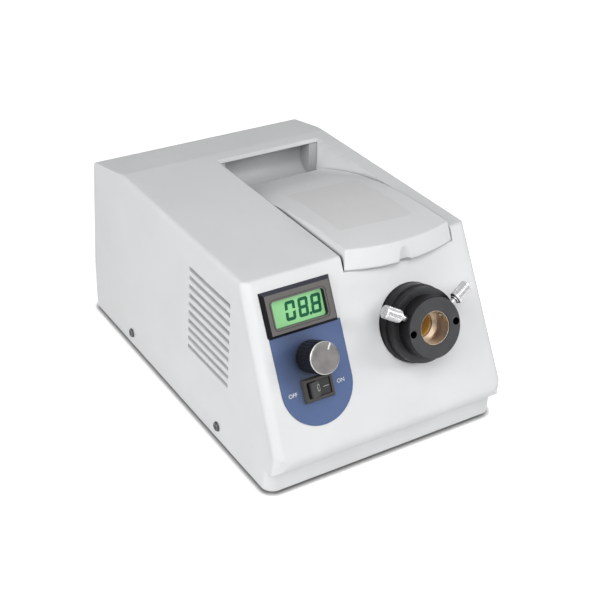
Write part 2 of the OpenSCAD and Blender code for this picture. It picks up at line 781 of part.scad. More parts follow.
module thumb_screw(angle) {
    head = collar_r + 5;
    chamfer = 0.4;
    color("silver") placed() thumb_place(angle) difference() {
        union() {
            rod(thumb_thread_r, guide_bore_r + 0.2, head + 0.5);
            rod(thumb_thread_r + 0.8, head - 1, head + 0.5);
            rotate_extrude() polygon([[0, head], [thumb_r - chamfer, head], [thumb_r, head + chamfer],
                                      [thumb_r, head + thumb_len - chamfer],
                                      [thumb_r - chamfer, head + thumb_len], [0, head + thumb_len]]);
        }
        for (i = [0 : 29])
            rotate([0, 0, i * 12]) translate([thumb_r + 0.15, 0, head + 1.2])
                cylinder(r = 0.36, h = thumb_len - 2.4, $fn = 4);
    }
}
module thumb_screw_left() {
    thumb_screw(thumb_angles[0]);
}
module thumb_screw_right() {
    thumb_screw(thumb_angles[1]);
}

// Lamp carriage
function axis_point(up, out) = [guide_point[1] - out * cos(guide_tilt) + up * sin(guide_tilt),
                                guide_point[2] + out * sin(guide_tilt) + up * cos(guide_tilt)];
carriage_w = 34;
plate_z = hub_end - sheet;
filter_r = 20;
holder_z = -lamp_back;
socket_z = holder_z - lamp_d - 12;
socket_len = 16;
carriage_end = socket_z - socket_len - sheet - 0.3;
foot_front = -tray_y + 25;
foot_rear = foot_front + 66;
module lamp_bracket() {
    color("silver") placed() {
        difference() {
            for (side = [-1, 1])
                slab_x(recess_x + side * carriage_w - (side > 0 ? sheet : 0),
                       recess_x + side * carriage_w + (side > 0 ? 0 : sheet))
                    polygon([axis_point(-44, hub_end), [foot_front, tray_top], [foot_rear, tray_top],
                             axis_point(-9, carriage_end), axis_point(9, carriage_end),
                             axis_point(30, holder_z - 10), axis_point(30, holder_z),
                             axis_point(12, holder_z + 14), axis_point(28, hub_end)]);
            translate([-far, axis_point(-6, holder_z + 17)[0], axis_point(-6, holder_z + 17)[1]])
                rotate([0, 90, 0]) cylinder(r = 10, h = 2 * far);
            translate([-far, axis_point(-2, holder_z - 22)[0], axis_point(-2, holder_z - 22)[1]])
                rotate([0, 90, 0]) cylinder(r = 10, h = 2 * far);
        }
        on_axis() {
            difference() {
                translate([0, -8, 0]) plate_at(2 * carriage_w, 72, plate_z, hub_end);
                rod(guide_bore_r + seat, plate_z - 1, hub_end + 1);
                for (x = [-collar_screw_at, collar_screw_at])
                    translate([x, 0, 0]) rod(screw_r + running, plate_z - 1, hub_end + 1);
            }
            tube(filter_r + 2, filter_r + running, plate_z - 4, plate_z + 0.1);
            difference() {
                plate_at(2 * carriage_w, 60, holder_z - sheet, holder_z);
                rod(lamp_r - 2.6, holder_z - sheet - 1, holder_z + 1);
            }
            plate_at(2 * carriage_w, 18, carriage_end, carriage_end + sheet);
        }
        difference() {
            box([recess_x - carriage_w, foot_front, tray_top],
                [recess_x + carriage_w, foot_rear, tray_top + sheet]);
            for (p = screw_places)
                translate([p[0], p[1], 0]) rod(screw_r + running, 0, 9);
        }
    }
}
module heat_filter() {
    color("lightcyan") placed() on_axis() rod(filter_r, plate_z - 3, plate_z);
}
lamp_pin_x = [-3.2, 3.2];
lamp_pin_r = 0.6;
function dish_r(t) = 8 + (lamp_r - 3 - 8) * sqrt(t);
module halogen_lamp() {
    steps = 8;
    glass = 1.4;
    outer = [for (i = [0 : steps]) [dish_r(i / steps), holder_z - lamp_d * (1 - i / steps)]];
    inner = [for (i = [steps : -1 : 0])
        [dish_r(i / steps) - glass, holder_z - (lamp_d - 2) * (1 - i / steps)]];
    color("lightgray") placed() on_axis() {
        rotate_extrude() polygon(concat(outer, inner));
        rotate_extrude() polygon([[lamp_r - 3 - glass, holder_z], [lamp_r - 3, holder_z - 1],
                                  [lamp_r - 3, holder_z], [lamp_r, holder_z], [lamp_r, holder_z + 2],
                                  [lamp_r - 2, holder_z + 2]]);
        difference() {
            rod(8, holder_z - lamp_d - 0.5, holder_z - lamp_d + 2);
            rod(4, holder_z - lamp_d, holder_z);
        }
        rod(4.2, holder_z - lamp_d - 0.5, holder_z - 12);
        translate([0, 0, holder_z - 12]) sphere(r = 4.2, $fn = 24);
        plate_at(17, 11, socket_z, holder_z - lamp_d);
        for (x = lamp_pin_x) translate([x, 0, 0]) rod(lamp_pin_r, socket_z - 7, socket_z + 1);
    }
}
module lamp_socket() {
    color("oldlace") placed() on_axis() difference() {
        plate_at(22, 14, socket_z - socket_len, socket_z - 0.2);
        for (x = lamp_pin_x) translate([x, 0, 0]) rod(lamp_pin_r + running, socket_z - 8, socket_z + 1);
        for (x = [-8.5, 8.5]) translate([x, 0, 0]) rod(1.6, socket_z - 30, socket_z + 1);
    }
}
module lamp_clip() {
    color("silver") placed() on_axis() rotate_extrude()
        polygon([[lamp_r + 0.3, holder_z], [lamp_r + 1.6, holder_z],
                 [lamp_r + 1.6, holder_z + 3.4], [lamp_r - 1, holder_z + 3.4],
                 [lamp_r - 1, holder_z + 2.2], [lamp_r + 0.3, holder_z + 2.2]]);
}

// Fan at the rear, its z running from the panel towards the front
module on_fan() {
    translate([recess_x, panel_in_y, fan_z]) rotate([90, 0, 0]) children();
}
hub_r = 16.5;
fan_shaft_r = 1.5;
module fan_frame() {
    color("dimgray") placed() on_fan() {
        difference() {
            linear_extrude(fan_t) rounded_plate(fan_w, fan_w, 3);
            rod(duct_r, -1, fan_t + 1);
            fan_corners() rod(fan_screw_r + running, -1, fan_t + 1);
        }
        difference() {
            union() {
                rod(hub_r, 0, 4.4);
                for (a = [30, 150, 270])
                    rotate([0, 0, a]) translate([hub_r - 1, -2, 0]) cube([duct_r - hub_r + 1.5, 4, 3.5]);
            }
            rod(fan_shaft_r + running, 0.8, 5);
        }
    }
}
module fan_rotor() {
    blade_r = duct_r - 0.8;
    curve_r = 17;
    color("darkgray") placed() on_fan() {
        rod(fan_shaft_r, 1, 8);
        difference() {
            rod(hub_r, 4.7, fan_t - 3);
            rod(hub_r - 1.5, 4, fan_t - 6);
        }
        rod(4, 4.7, fan_t - 4);
        intersection() {
            rod(blade_r, 5.5, fan_t - 3);
            for (i = [0 : blade_count - 1])
                rotate([0, 0, i * 360 / blade_count]) slab_x(hub_r - 0.8, blade_r + 1) intersection() {
                    translate([-curve_r + 8, fan_t - 5]) difference() {
                        circle(r = curve_r);
                        circle(r = curve_r - 1.3);
                    }
                    translate([-9, 5.5]) square([18, fan_t - 9]);
                }
        }
    }
}
wire_r = 0.9;
guard_rings = [11, 19, 27, 35];
module fan_guard() {
    plane = panel_t + wire_r + touch;
    color("silver") placed() on_fan() translate([0, 0, -plane]) {
        for (r = guard_rings)
            rotate_extrude() translate([r, 0]) circle(r = wire_r - 0.1);
        difference() {
            for (a = [45, 135])
                rotate([0, 0, a]) translate([-fan_pitch * sqrt(2), -wire_r, -wire_r])
                    cube([2 * fan_pitch * sqrt(2), 2 * wire_r, 2 * wire_r]);
            fan_corners() rod(fan_screw_r + 1, -9, 9);
        }
        fan_corners() tube(fan_screw_r + 2.2, fan_screw_r + 0.2, -wire_r, wire_r);
    }
}
module fan_screws() {
    top = panel_t + 2 * wire_r + 2 * touch;
    color("silver") placed() on_fan() fan_corners() difference() {
        union() {
            rod(fan_screw_r, -top - 1, fan_t + 4);
            translate([0, 0, -top - 2]) cylinder(r1 = 3, r2 = 3.9, h = 2);
            translate([0, 0, fan_t]) cylinder(r = 4, h = 3, $fn = 6);
        }
        cross_recess(4.4, 0.9, -top - 2.8);
    }
}

// Transformer
core_w = 66;
core_h = 55;
core_d = 35;
core_x = -tray_x + 45.7;
core_y = tray_y - 70;
strap_t = 1.2;
leg = core_w / 3;
core_z = tray_top + strap_t;
strap_screw_x = core_w / 2 + 6;
module core_outline() {
    difference() {
        translate([-core_w / 2, 0]) square([core_w, core_h]);
        for (side = [-1, 1])
            translate([side * leg * 0.75 - leg / 4, leg / 2]) square([leg / 2, core_h - leg]);
    }
}
module transformer_core() {
    color("dimgray") placed() translate([core_x, 0, core_z]) slab_y(core_y - core_d / 2, core_y + core_d / 2)
        core_outline();
}
module transformer_winding() {
    gap = 0.3;
    h = core_h - leg - 2 * gap;
    color("goldenrod") placed() translate([core_x, core_y, core_z + leg / 2 + gap]) difference() {
        linear_extrude(h) rounded_plate(2 * leg - 2 * gap, core_d + leg, 6);
        translate([0, 0, -1]) linear_extrude(h + 2) square([leg + 2 * gap, core_d + 2 * gap], center = true);
    }
}
module transformer_strap() {
    half = core_w / 2 + 0.05;
    top = core_z + core_h + 0.05;
    color("silver") placed() translate([core_x, core_y, 0]) difference() {
        union() {
            box([-half - strap_t, -9, top], [half + strap_t, 9, top + strap_t]);
            for (side = [-1, 1]) {
                box([side * half - (side < 0 ? strap_t : 0), -9, tray_top],
                    [side * half + (side > 0 ? strap_t : 0), 9, top + 0.5]);
                box([side < 0 ? -half - 11 : half, -9, tray_top], [side < 0 ? -half : half + 11, 9, core_z]);
            }
        }
        for (side = [-1, 1])
            translate([side * strap_screw_x, 0, 0]) rod(screw_r + running, 0, 9);
    }
}

// Control board
board_x0 = -tray_x + 5.7;
board_w = recess_x - carriage_w - 7 - board_x0;
board_d = 62;
board_y0 = -tray_y + 51;
board_z = 12;
board_t = 1.6;
pillar_in = 4;
module on_board() {
    translate([board_x0, board_y0, board_z]) children();
}
module board_corners() {
    for (x = [pillar_in, board_w - pillar_in], y = [pillar_in, board_d - pillar_in])
        translate([x, y, 0]) children();
}
module control_board() {
    color("seagreen") placed() on_board() difference() {
        cube([board_w, board_d, board_t]);
        board_corners() rod(screw_r + running, -1, board_t + 1);
    }
}
module board_pillars() {
    color("silver") placed() on_board() board_corners() {
        rod(3, tray_top - board_z, 0);
        rod(screw_r, -1, board_t + 0.5);
        rod(2.8, board_t, board_t + 1.8);
    }
}
capacitor_r = 6.5;
capacitor_h = 22;
diode_r = 2.2;
diode_h = 6;
relay = [15, 12, 14];
terminals = [26, 8, 11];
module board_parts() {
    color("royalblue") placed() on_board() translate([0, 0, board_t]) {
        for (y = [0.23, 0.48]) translate([board_w - capacitor_r - 3.5, y * board_d, 0])
            rod(capacitor_r, 0, capacitor_h);
        for (x = [0.52, 0.61]) translate([x * board_w, 0.19 * board_d, 0]) rod(diode_r, 0, diode_h);
        translate([board_w - relay[0] - 2 * pillar_in, board_d - relay[1] - 9, 0]) cube(relay);
        translate([2.5 * pillar_in, board_d - terminals[1] - 6, 0]) cube(terminals);
    }
}
sink = [20, 24, 24];
sink_foot = 3;
fin_t = 2;
fin_gaps = 4;
module heat_sink() {
    color("darkgray") placed() on_board() translate([2 * pillar_in, 0.26 * board_d, board_t]) {
        cube([sink[0], sink[1], sink_foot]);
        for (i = [0 : fin_gaps])
            translate([i * (sink[0] - fin_t) / fin_gaps, 0, sink_foot - 1])
                cube([fin_t, sink[1], sink[2] - sink_foot + 1]);
    }
}

// Mains inlet with its fuse drawer, its z running out of the rear panel
inlet_flange = 3;
socket_mouth = [24.4, 16.4];
socket_up = 5;
socket_deep = 13.5;
drawer = [22, 7];
drawer_up = -11;
drawer_deep = 19;
fuse_r = 2.5;
fuse_half = 10;
fuse_z = -15.5;
module mains_inlet() {
    w = socket_mouth[0] / 2;
    h = socket_mouth[1] / 2;
    color("black") placed() on_rear(inlet_x, inlet_z) {
        difference() {
            union() {
                linear_extrude(inlet_flange) rounded_plate(50, 37, 4);
                plate_at(inlet_body[0], inlet_body[1], -26, 1);
                for (x = [-7, 0, 7]) translate([x, socket_up, 0]) plate_at(0.8, 6, -33, -25);
            }
            translate([0, socket_up, -socket_deep]) linear_extrude(far)
                polygon([[-w, -h], [w, -h], [w, h - 5], [w - 5, h], [-w + 5, h], [-w, h - 5]]);
            translate([0, drawer_up, 0]) plate_at(drawer[0] + 0.4, drawer[1] + 0.4, -drawer_deep - 0.5, 10);
            for (x = inlet_screw_x) translate([x, 0, 0]) rod(screw_r + running, -1, 10);
        }
        for (p = [[-7, 0], [0, 4], [7, 0]])
            translate([p[0], socket_up + p[1], 0]) plate_at(2, 4, -socket_deep - 0.5, 0);
    }
}
module fuse_drawer() {
    color("dimgray") placed() on_rear(inlet_x, inlet_z) translate([0, drawer_up, 0]) difference() {
        union() {
            plate_at(drawer[0], drawer[1], -drawer_deep, inlet_flange + 0.5);
            bevelled_block(drawer[0] + 2, drawer[1] + 1.4, inlet_flange + touch, inlet_flange + 1.8, 0.5);
        }
        translate([0, 0, fuse_z]) rotate([0, 90, 0]) rod(fuse_r + 0.1, -fuse_half - 0.1, fuse_half + 0.1);
        plate_at(drawer[0] - 6, 3.6, -11, 0);
    }
}
module fuse() {
    color("lightgray") placed() on_rear(inlet_x, inlet_z) translate([0, drawer_up, fuse_z])
        rotate([0, 90, 0]) rod(fuse_r, -fuse_half, fuse_half);
}
module inlet_screws() {
    color("silver") placed() on_rear(inlet_x, inlet_z)
        for (x = inlet_screw_x) translate([x, 0, 0]) difference() {
            union() {
                rod(screw_r, -panel_t - 4, inlet_flange + 0.5);
                translate([0, 0, inlet_flange]) cylinder(r1 = 3, r2 = 2.3, h = 1.4);
            }
            cross_recess(3.2, 0.7, inlet_flange + 0.7);
        }
}
// Screws that hold the carriage, the transformer and the rear panel to the tray
screw_places = concat(
    [for (x = [-1, 1], y = [foot_front + 8, foot_rear - 6]) [recess_x + x * 27, y, tray_top + sheet]],
    [for (x = [-1, 1]) [core_x + x * strap_screw_x, core_y, tray_top + strap_t]],
    [for (x = [-1, 0, 1]) [x * (panel_w / 2 - 17.4), panel_in_y - 7, tray_top + panel_t]]);
module chassis_screws() {
    color("silver") placed()
        for (p = screw_places) translate([p[0], p[1], 0]) difference() {
            union() {
                rod(screw_r, tray_z, p[2] + 0.5);
                translate([0, 0, p[2]]) cylinder(r1 = 2.9, r2 = 2.3, h = 1.6);
            }
            translate([-1.6, -0.35, p[2] + 0.8]) cube([3.2, 0.7, 2]);
        }
}

upper_housing();
base_tray();
rear_panel();
rubber_feet();
side_screws();
lamp_lid();
lid_hinge_pins();
handle_pocket();
front_overlay();
meter_case();
meter_window();
brightness_knob();
knob_cap();
knob_shaft();
potentiometer();
rocker_frame();
rocker_paddle();
guide_collar();
collar_bush();
guide_tube();
collar_screws();
thumb_screw_left();
thumb_screw_right();
lamp_bracket();
heat_filter();
halogen_lamp();
lamp_socket();
lamp_clip();
fan_frame();
fan_rotor();
fan_guard();
fan_screws();
transformer_core();
transformer_winding();
transformer_strap();
control_board();
board_parts();
heat_sink();
board_pillars();
mains_inlet();
fuse_drawer();
fuse();
inlet_screws();
chassis_screws();
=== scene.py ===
"""Finishes, display, lettering and studio of a cold light source, as an add-on."""

import json
import math

import bmesh
import bpy
from mathutils import Matrix, Vector
from mathutils.bvhtree import BVHTree


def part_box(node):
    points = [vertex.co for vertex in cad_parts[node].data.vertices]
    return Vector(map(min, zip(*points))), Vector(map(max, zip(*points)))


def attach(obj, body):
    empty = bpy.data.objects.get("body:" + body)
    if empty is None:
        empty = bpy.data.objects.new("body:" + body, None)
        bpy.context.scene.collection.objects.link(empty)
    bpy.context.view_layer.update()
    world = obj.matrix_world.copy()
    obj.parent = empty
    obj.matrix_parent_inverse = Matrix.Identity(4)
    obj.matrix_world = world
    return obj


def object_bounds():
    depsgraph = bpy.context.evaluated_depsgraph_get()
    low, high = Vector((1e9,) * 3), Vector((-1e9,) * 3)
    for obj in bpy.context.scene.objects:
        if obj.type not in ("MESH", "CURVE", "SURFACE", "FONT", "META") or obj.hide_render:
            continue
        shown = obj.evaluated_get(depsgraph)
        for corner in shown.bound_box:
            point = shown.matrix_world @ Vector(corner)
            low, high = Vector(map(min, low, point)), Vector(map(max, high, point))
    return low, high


bl_info = {
    "name": "Cold light source",
    "version": (1, 0, 0),
    "blender": (4, 5, 0),
    "location": "View3D > Sidebar > Light source",
    "description": "Finishes, display, lettering and a studio for a cold light source",
    "category": "Object",
}

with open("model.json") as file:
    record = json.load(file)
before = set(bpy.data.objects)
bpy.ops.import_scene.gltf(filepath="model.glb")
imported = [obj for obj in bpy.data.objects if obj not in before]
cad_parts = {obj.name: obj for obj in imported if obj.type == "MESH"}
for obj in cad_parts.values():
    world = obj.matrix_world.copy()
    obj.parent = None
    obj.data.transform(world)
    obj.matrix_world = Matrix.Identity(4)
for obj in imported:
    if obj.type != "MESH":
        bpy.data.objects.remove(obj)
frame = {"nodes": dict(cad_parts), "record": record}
CAD_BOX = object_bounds()
MM = 0.001


def named(records, name):
    """The record of that name."""
    return next(record for record in records if record["name"] == name)


JOINTS = frame["record"]["behaviour"]["joints"]
BORE = named(frame["record"]["mounts"], "light_guide_bore")

# The sloping control face, with the knob's and the switch's places on it
ACROSS = Vector((1, 0, 0))
FACE_OUT = Vector(named(JOINTS, "brightness_turn")["axis"]).normalized()
FACE_UP = FACE_OUT.cross(ACROSS)
KNOB_AT = Vector(named(JOINTS, "brightness_turn")["pos_m"])
SWITCH_AT = Vector(named(JOINTS, "power_rocker")["pos_m"])

# The light guide's axis, pointing out of the bore
GUIDE_OUT = Vector(BORE["axis"]).normalized()
GUIDE_AT = Vector(BORE["pos_m"])
BORE_RADIUS = BORE["dims"]["r_mm"] * MM

# How far print stands out of its surface, and a capital's height as a share of the type size
PRINT_THICK, CAPITAL_SHARE = 0.02 * MM, 0.7
# How high a ray that looks for a surface starts, above the face and above the floor
PROBE_FACE, PROBE_TOP = 30 * MM, 200 * MM

# Width, pitch and bar of a display digit and its corner's chamfer, as shares of its height
DIGIT_WIDE, DIGIT_PITCH, DIGIT_BAR, DIGIT_CUT = 0.59, 0.76, 0.165, 0.09
# The decimal point's side, as a share of the height, and its place before the next digit,
# as a share of the pitch
POINT_SIDE, POINT_BACK = 0.15, 0.09
# Space right of the last digit, and how far the display's surface is in front of its middle
DIGIT_MARGIN, DISPLAY_FRONT = 1.5 * MM, 0.46 * MM
# Each bar's two ends (column, row), clockwise round the digit
OUTLINE = {
    "a": ((0, 1), (1, 1)),
    "b": ((1, 1), (1, 0)),
    "c": ((1, 0), (1, -1)),
    "d": ((1, -1), (0, -1)),
    "e": ((0, -1), (0, 0)),
    "f": ((0, 0), (0, 1)),
    "g": ((0, 0), (1, 0)),
}
SEGMENTS = {
    "0": "abcdef", "1": "bc", "2": "abged", "3": "abgcd", "4": "fgbc",
    "5": "afgcd", "6": "afgedc", "7": "abc", "8": "abcdefg", "9": "abcdfg",
}

# Words beside the switch and how far across from it they are; drop is down the face, lift out of it
WORDS = {"OFF": -17.4 * MM, "ON": 15.9 * MM}
WORD_DROP, WORD_LIFT = 0.1 * MM, 0.13 * MM
# Height and place of the paddle's 0; width, height and place of its dash; how far both stand off
ZERO_HEIGHT, ZERO_ACROSS = 4.6 * MM, -0.5 * MM
DASH_WIDE, DASH_HIGH, DASH_ACROSS = 3.9 * MM, 0.4 * MM, 4.7 * MM
MARK_LIFT = 0.03 * MM

# The knob's pointer: turn, width, length, depth, corner, and its middle in from the cap's rim
POINTER_TURN = math.radians(-34)
POINTER_WIDE, POINTER_LONG, POINTER_DEEP, POINTER_CORNER = 1.0 * MM, 4.1 * MM, 0.22 * MM, 0.2 * MM
POINTER_IN = 2.6 * MM

# How far the lid's film stands off, and its thickness
FILM_LIFT, FILM_THICK = 0.005 * MM, 0.03 * MM

# A wave texture's scale times its pitch, in metres per radian
WAVE_SCALE = 0.314 / 6.283

# What the lamps face; then each lamp's place, size and whether gloss mirrors it
LAMPS_FACE = Vector((0, 0, 0.06))
LAMPS = {
    "left": ((-1.45, -0.25, 0.8), 1.0, True),
    "top": ((-0.25, -0.85, 1.05), 1.0, True),
    "right": ((1.2, -1.0, 0.7), 0.45, True),
    "rear": ((0.8, 1.4, 0.1), 0.8, False),
}
# How far the paper lies under the feet, and the distances at which its glow rises and is full
PAPER_DROP = 0.2 * MM
GLOW_RISES, GLOW_FULL = 0.4, 0.9


# ---------------------------------------------------------------- properties


class CameraSettings(bpy.types.PropertyGroup):
    """Where the camera stands, in the object's own frame."""

    place: bpy.props.FloatVectorProperty(
        name="Place", description="Camera position", default=(-0.3766, -0.6080, 0.4814),
        unit="LENGTH",
    )
    turn: bpy.props.FloatProperty(
        name="Turn", description="Azimuth of the view", default=math.radians(-32.53),
        subtype="ANGLE",
    )
    tilt: bpy.props.FloatProperty(
        name="Tilt", description="Elevation of the view", default=math.radians(31.19),
        subtype="ANGLE",
    )
    roll: bpy.props.FloatProperty(
        name="Roll", description="Roll of the camera", default=math.radians(1.68), subtype="ANGLE"
    )
    lens: bpy.props.FloatProperty(
        name="Lens", description="Focal length on a 36 mm sensor", default=73.42, unit="CAMERA"
    )


class StageSettings(bpy.types.PropertyGroup):
    """Floor, world and lamps."""

    floor_size: bpy.props.FloatProperty(
        name="Floor size", description="Side of the floor", default=6.0, unit="LENGTH"
    )
    ambient: bpy.props.FloatProperty(
        name="Ambient", description="Strength of the even light from all round", default=0.0, min=0
    )
    left_watts: bpy.props.FloatProperty(
        name="Left", description="Power of the lamp on the left", default=13.2, unit="POWER"
    )
    top_watts: bpy.props.FloatProperty(
        name="Top", description="Power of the lamp overhead", default=11.5, unit="POWER"
    )
    right_watts: bpy.props.FloatProperty(
        name="Right", description="Power of the lamp on the right", default=7.0, unit="POWER"
    )
    rear_watts: bpy.props.FloatProperty(
        name="Rear", description="Power of the low lamp behind", default=10.0, unit="POWER"
    )
    paper_glow: bpy.props.FloatProperty(
        name="Paper glow", description="Brightness added to the paper as seen", default=0.8, min=0
    )
    # The dark line at the foot is a painted contact shadow.
    contact: bpy.props.FloatProperty(
        name="Contact", description="Reach of the dark line at the foot", default=0.0052,
        unit="LENGTH",
    )


class PrintSettings(bpy.types.PropertyGroup):
    """Display figures, lettering and the plate on the lid."""

    figures: bpy.props.StringProperty(
        name="Figures", description="Digits and points on the display", default="08.8"
    )
    digit_height: bpy.props.FloatProperty(
        name="Digit height", description="Height of one display digit", default=11.6 * MM,
        unit="LENGTH",
    )
    digit_slant: bpy.props.FloatProperty(
        name="Digit slant", description="Slant of the display digits", default=math.radians(5),
        subtype="ANGLE",
    )
    letter_height: bpy.props.FloatProperty(
        name="Letter height", description="Height of OFF and ON", default=2.4 * MM, unit="LENGTH"
    )
    plate_at: bpy.props.FloatVectorProperty(
        name="Plate place", description="Middle of the bare plate on the lid", size=2,
        default=(27.9 * MM, -27.2 * MM), unit="LENGTH",
    )
    plate_size: bpy.props.FloatVectorProperty(
        name="Plate size", description="Width and length of the bare plate on the lid", size=2,
        default=(52.7 * MM, 72.4 * MM), unit="LENGTH",
    )
    plate_turn: bpy.props.FloatProperty(
        name="Plate turn", description="Turn of the bare plate on the lid",
        default=math.radians(-4.3), subtype="ANGLE",
    )


def colour(name, words, value):
    """A colour property, as linear light."""
    return bpy.props.FloatVectorProperty(
        name=name, description=words, subtype="COLOR", size=3, min=0, max=1, default=value
    )


class FinishSettings(bpy.types.PropertyGroup):
    """Colours of the main finishes."""

    housing: colour("Housing", "Light grey moulded plastic", (0.775, 0.785, 0.79))
    lid: colour("Lid", "Pale grey of the lamp lid", (0.79, 0.80, 0.805))
    # The grip's darker tone is painted shade of its pocket.
    grip: colour("Grip", "Slightly darker plastic of the grip", (0.71, 0.72, 0.725))
    overlay: colour("Overlay", "Blue-grey film on the control face", (0.092, 0.147, 0.318))
    meter: colour("Meter", "Warm dark grey of the meter's bezel", (0.105, 0.098, 0.095))
    # The slopes are partly gloss black and partly painted shade; the upper slope's bluish grey is a
    # painted highlight.
    slope: colour("Bezel slope", "Gloss black of the bezel's slopes", (0.008, 0.008, 0.010))
    slope_top_highlight: colour("Upper slope", "Bluish grey of the upper slope", (0.045, 0.047, 0.062))
    display: colour("Display", "Green back light of the display", (0.22, 0.496, 0.22))
    figures: colour("Figures", "Dark green of the display's segments", (0.010, 0.105, 0.05))
    black: colour("Black", "Black moulded plastic", (0.014, 0.014, 0.016))
    switch: colour("Switch frame", "Warm black of the switch's frame", (0.045, 0.042, 0.038))
    anodised: colour("Anodised", "Black anodised aluminium", (0.040, 0.041, 0.043))
    # The collar's round sides are painted darker than its face: painted shade.
    anodised_side_shade: colour("Anodised side", "Round sides of the collar", (0.012, 0.012, 0.013))
    spun: colour("Spun aluminium", "Fine-turned cap of the knob", (0.207, 0.199, 0.196))
    film: colour("Film", "Grey film on the lid", (0.745, 0.757, 0.75))
    steel: colour("Steel", "Zinc-plated steel", (0.62, 0.63, 0.64))
    brass: colour("Brass", "Turned brass", (0.93, 0.58, 0.17))


# ------------------------------------------------------------------ materials


def new_material(name):
    """An empty material with its Principled shader: (material, node tree, shader)."""
    mat = bpy.data.materials.new(name)
    mat.use_nodes = True
    tree = mat.node_tree
    return mat, tree, tree.nodes["Principled BSDF"]


def add(tree, kind, **values):
    """A node of that kind, with its properties and, by name, its inputs set."""
    node = tree.nodes.new(kind)
    for key, value in values.items():
        if hasattr(node, key):
            setattr(node, key, value)
        else:
            node.inputs[key.replace("_", " ")].default_value = value
    return node


def object_coords(tree, at=(0, 0, 0), axis=(0, 0, 1)):
    """Object coordinates measured from a point, with Z along an axis."""
    source = add(tree, "ShaderNodeTexCoord")
    place = add(tree, "ShaderNodeMapping", vector_type="TEXTURE")
    place.inputs["Location"].default_value = at
    place.inputs["Rotation"].default_value = Vector(axis).to_track_quat("Z", "Y").to_euler()
    tree.links.new(source.outputs["Object"], place.inputs["Vector"])
    return place.outputs["Vector"]


def noise(tree, coords, scale, detail=3.0):
    """Soft random values."""
    node = add(tree, "ShaderNodeTexNoise", Scale=scale, Detail=detail)
    tree.links.new(coords, node.inputs["Vector"])
    return node.outputs["Fac"]


def waves(tree, coords, kind, pitch, distortion):
    """Rings about local Z or bands along it, the pitch in metres per radian."""
    node = add(
        tree, "ShaderNodeTexWave", wave_type=kind, rings_direction="Z", bands_direction="Z",
        Scale=WAVE_SCALE / pitch, Distortion=distortion, Detail=2,
    )
    tree.links.new(coords, node.inputs["Vector"])
    return node.outputs["Fac"]


def spread(tree, value, low, high, start=0.3, end=0.7):
    """A value from start to end, mapped to low to high."""
    node = tree.nodes.new("ShaderNodeMapRange")
    for key, number in (("From Min", start), ("From Max", end), ("To Min", low), ("To Max", high)):
        node.inputs[key].default_value = number
    tree.links.new(value, node.inputs["Value"])
    return node.outputs["Result"]


def chain(tree, operation, first, *others):
    """Math nodes of one operation in a row: sockets or numbers, two at a time."""
    for other in others:
        node = add(tree, "ShaderNodeMath", operation=operation)
        for socket, value in zip(node.inputs, (first, other)):
            if isinstance(value, (int, float)):
                socket.default_value = value
            else:
                tree.links.new(value, socket)
        first = node.outputs[0]
    return first


def facing(tree, axis, start=0.93, end=0.97):
    """1 where the surface looks along an axis, 0 where it leans away from it."""
    source = add(tree, "ShaderNodeTexCoord")
    dot = add(tree, "ShaderNodeVectorMath", operation="DOT_PRODUCT")
    dot.inputs[1].default_value = axis
    tree.links.new(source.outputs["Normal"], dot.inputs[0])
    return spread(tree, dot.outputs["Value"], 0, 1, start, end)


def off_axis(tree, coords):
    """Distance from the local Z axis."""
    flat = add(tree, "ShaderNodeVectorMath", operation="MULTIPLY")
    flat.inputs[1].default_value = (1, 1, 0)
    tree.links.new(coords, flat.inputs[0])
    length = add(tree, "ShaderNodeVectorMath", operation="LENGTH")
    tree.links.new(flat.outputs[0], length.inputs[0])
    return length.outputs["Value"]


def blend(tree, shader, value, first, second):
    """Base colour from a first to a second colour, by a value from 0 to 1."""
    mix = add(tree, "ShaderNodeMix", data_type="RGBA")
    mix.inputs["A"].default_value = (*first, 1)
    mix.inputs["B"].default_value = (*second, 1)
    tree.links.new(value, mix.inputs["Factor"])
    tree.links.new(mix.outputs["Result"], shader.inputs["Base Color"])
    return mix.outputs["Result"]


def vary_colour(tree, shader, value, rgb, first=0.96, last=1.03):
    """Base colour times a share that goes from first to last, by a value from 0 to 1."""
    shades = [[min(1.0, part * share) for part in rgb] for share in (first, last)]
    return blend(tree, shader, value, *shades)


def two_tone(tree, shader, where, other):
    """Lays another colour over the base colour where a value is 1."""
    under = shader.inputs["Base Color"].links[0].from_socket
    mix = add(tree, "ShaderNodeMix", data_type="RGBA")
    mix.inputs["B"].default_value = (*other, 1)
    tree.links.new(where, mix.inputs["Factor"])
    tree.links.new(under, mix.inputs["A"])
    tree.links.new(mix.outputs["Result"], shader.inputs["Base Color"])


def occluded(mat, reach, full=0.2, lean=None):
    """Paints shade into grooves and corners within a reach; with lean, it paints the shadow of what
    stands on one side only.
    """
    tree = mat.node_tree
    nearby = add(tree, "ShaderNodeAmbientOcclusion", samples=8, Distance=reach)
    if lean is not None:
        side = add(tree, "ShaderNodeCombineXYZ", X=lean.x, Y=lean.y, Z=lean.z)
        tree.links.new(side.outputs["Vector"], nearby.inputs["Normal"])
    painted_shade = spread(tree, nearby.outputs["AO"], 1, 0, full, 0.95)
    two_tone(tree, tree.nodes["Principled BSDF"], painted_shade, (0, 0, 0))


def bump(tree, shader, height, depth, strength=1.0, edge=0.0):
    """Surface relief of a depth; edge rounds sharp corners by that radius."""
    node = add(tree, "ShaderNodeBump", Strength=strength, Distance=depth)
    tree.links.new(height, node.inputs["Height"])
    if edge:
        soft = add(tree, "ShaderNodeBevel", samples=6, Radius=edge)
        tree.links.new(soft.outputs["Normal"], node.inputs["Normal"])
    tree.links.new(node.outputs["Normal"], shader.inputs["Normal"])


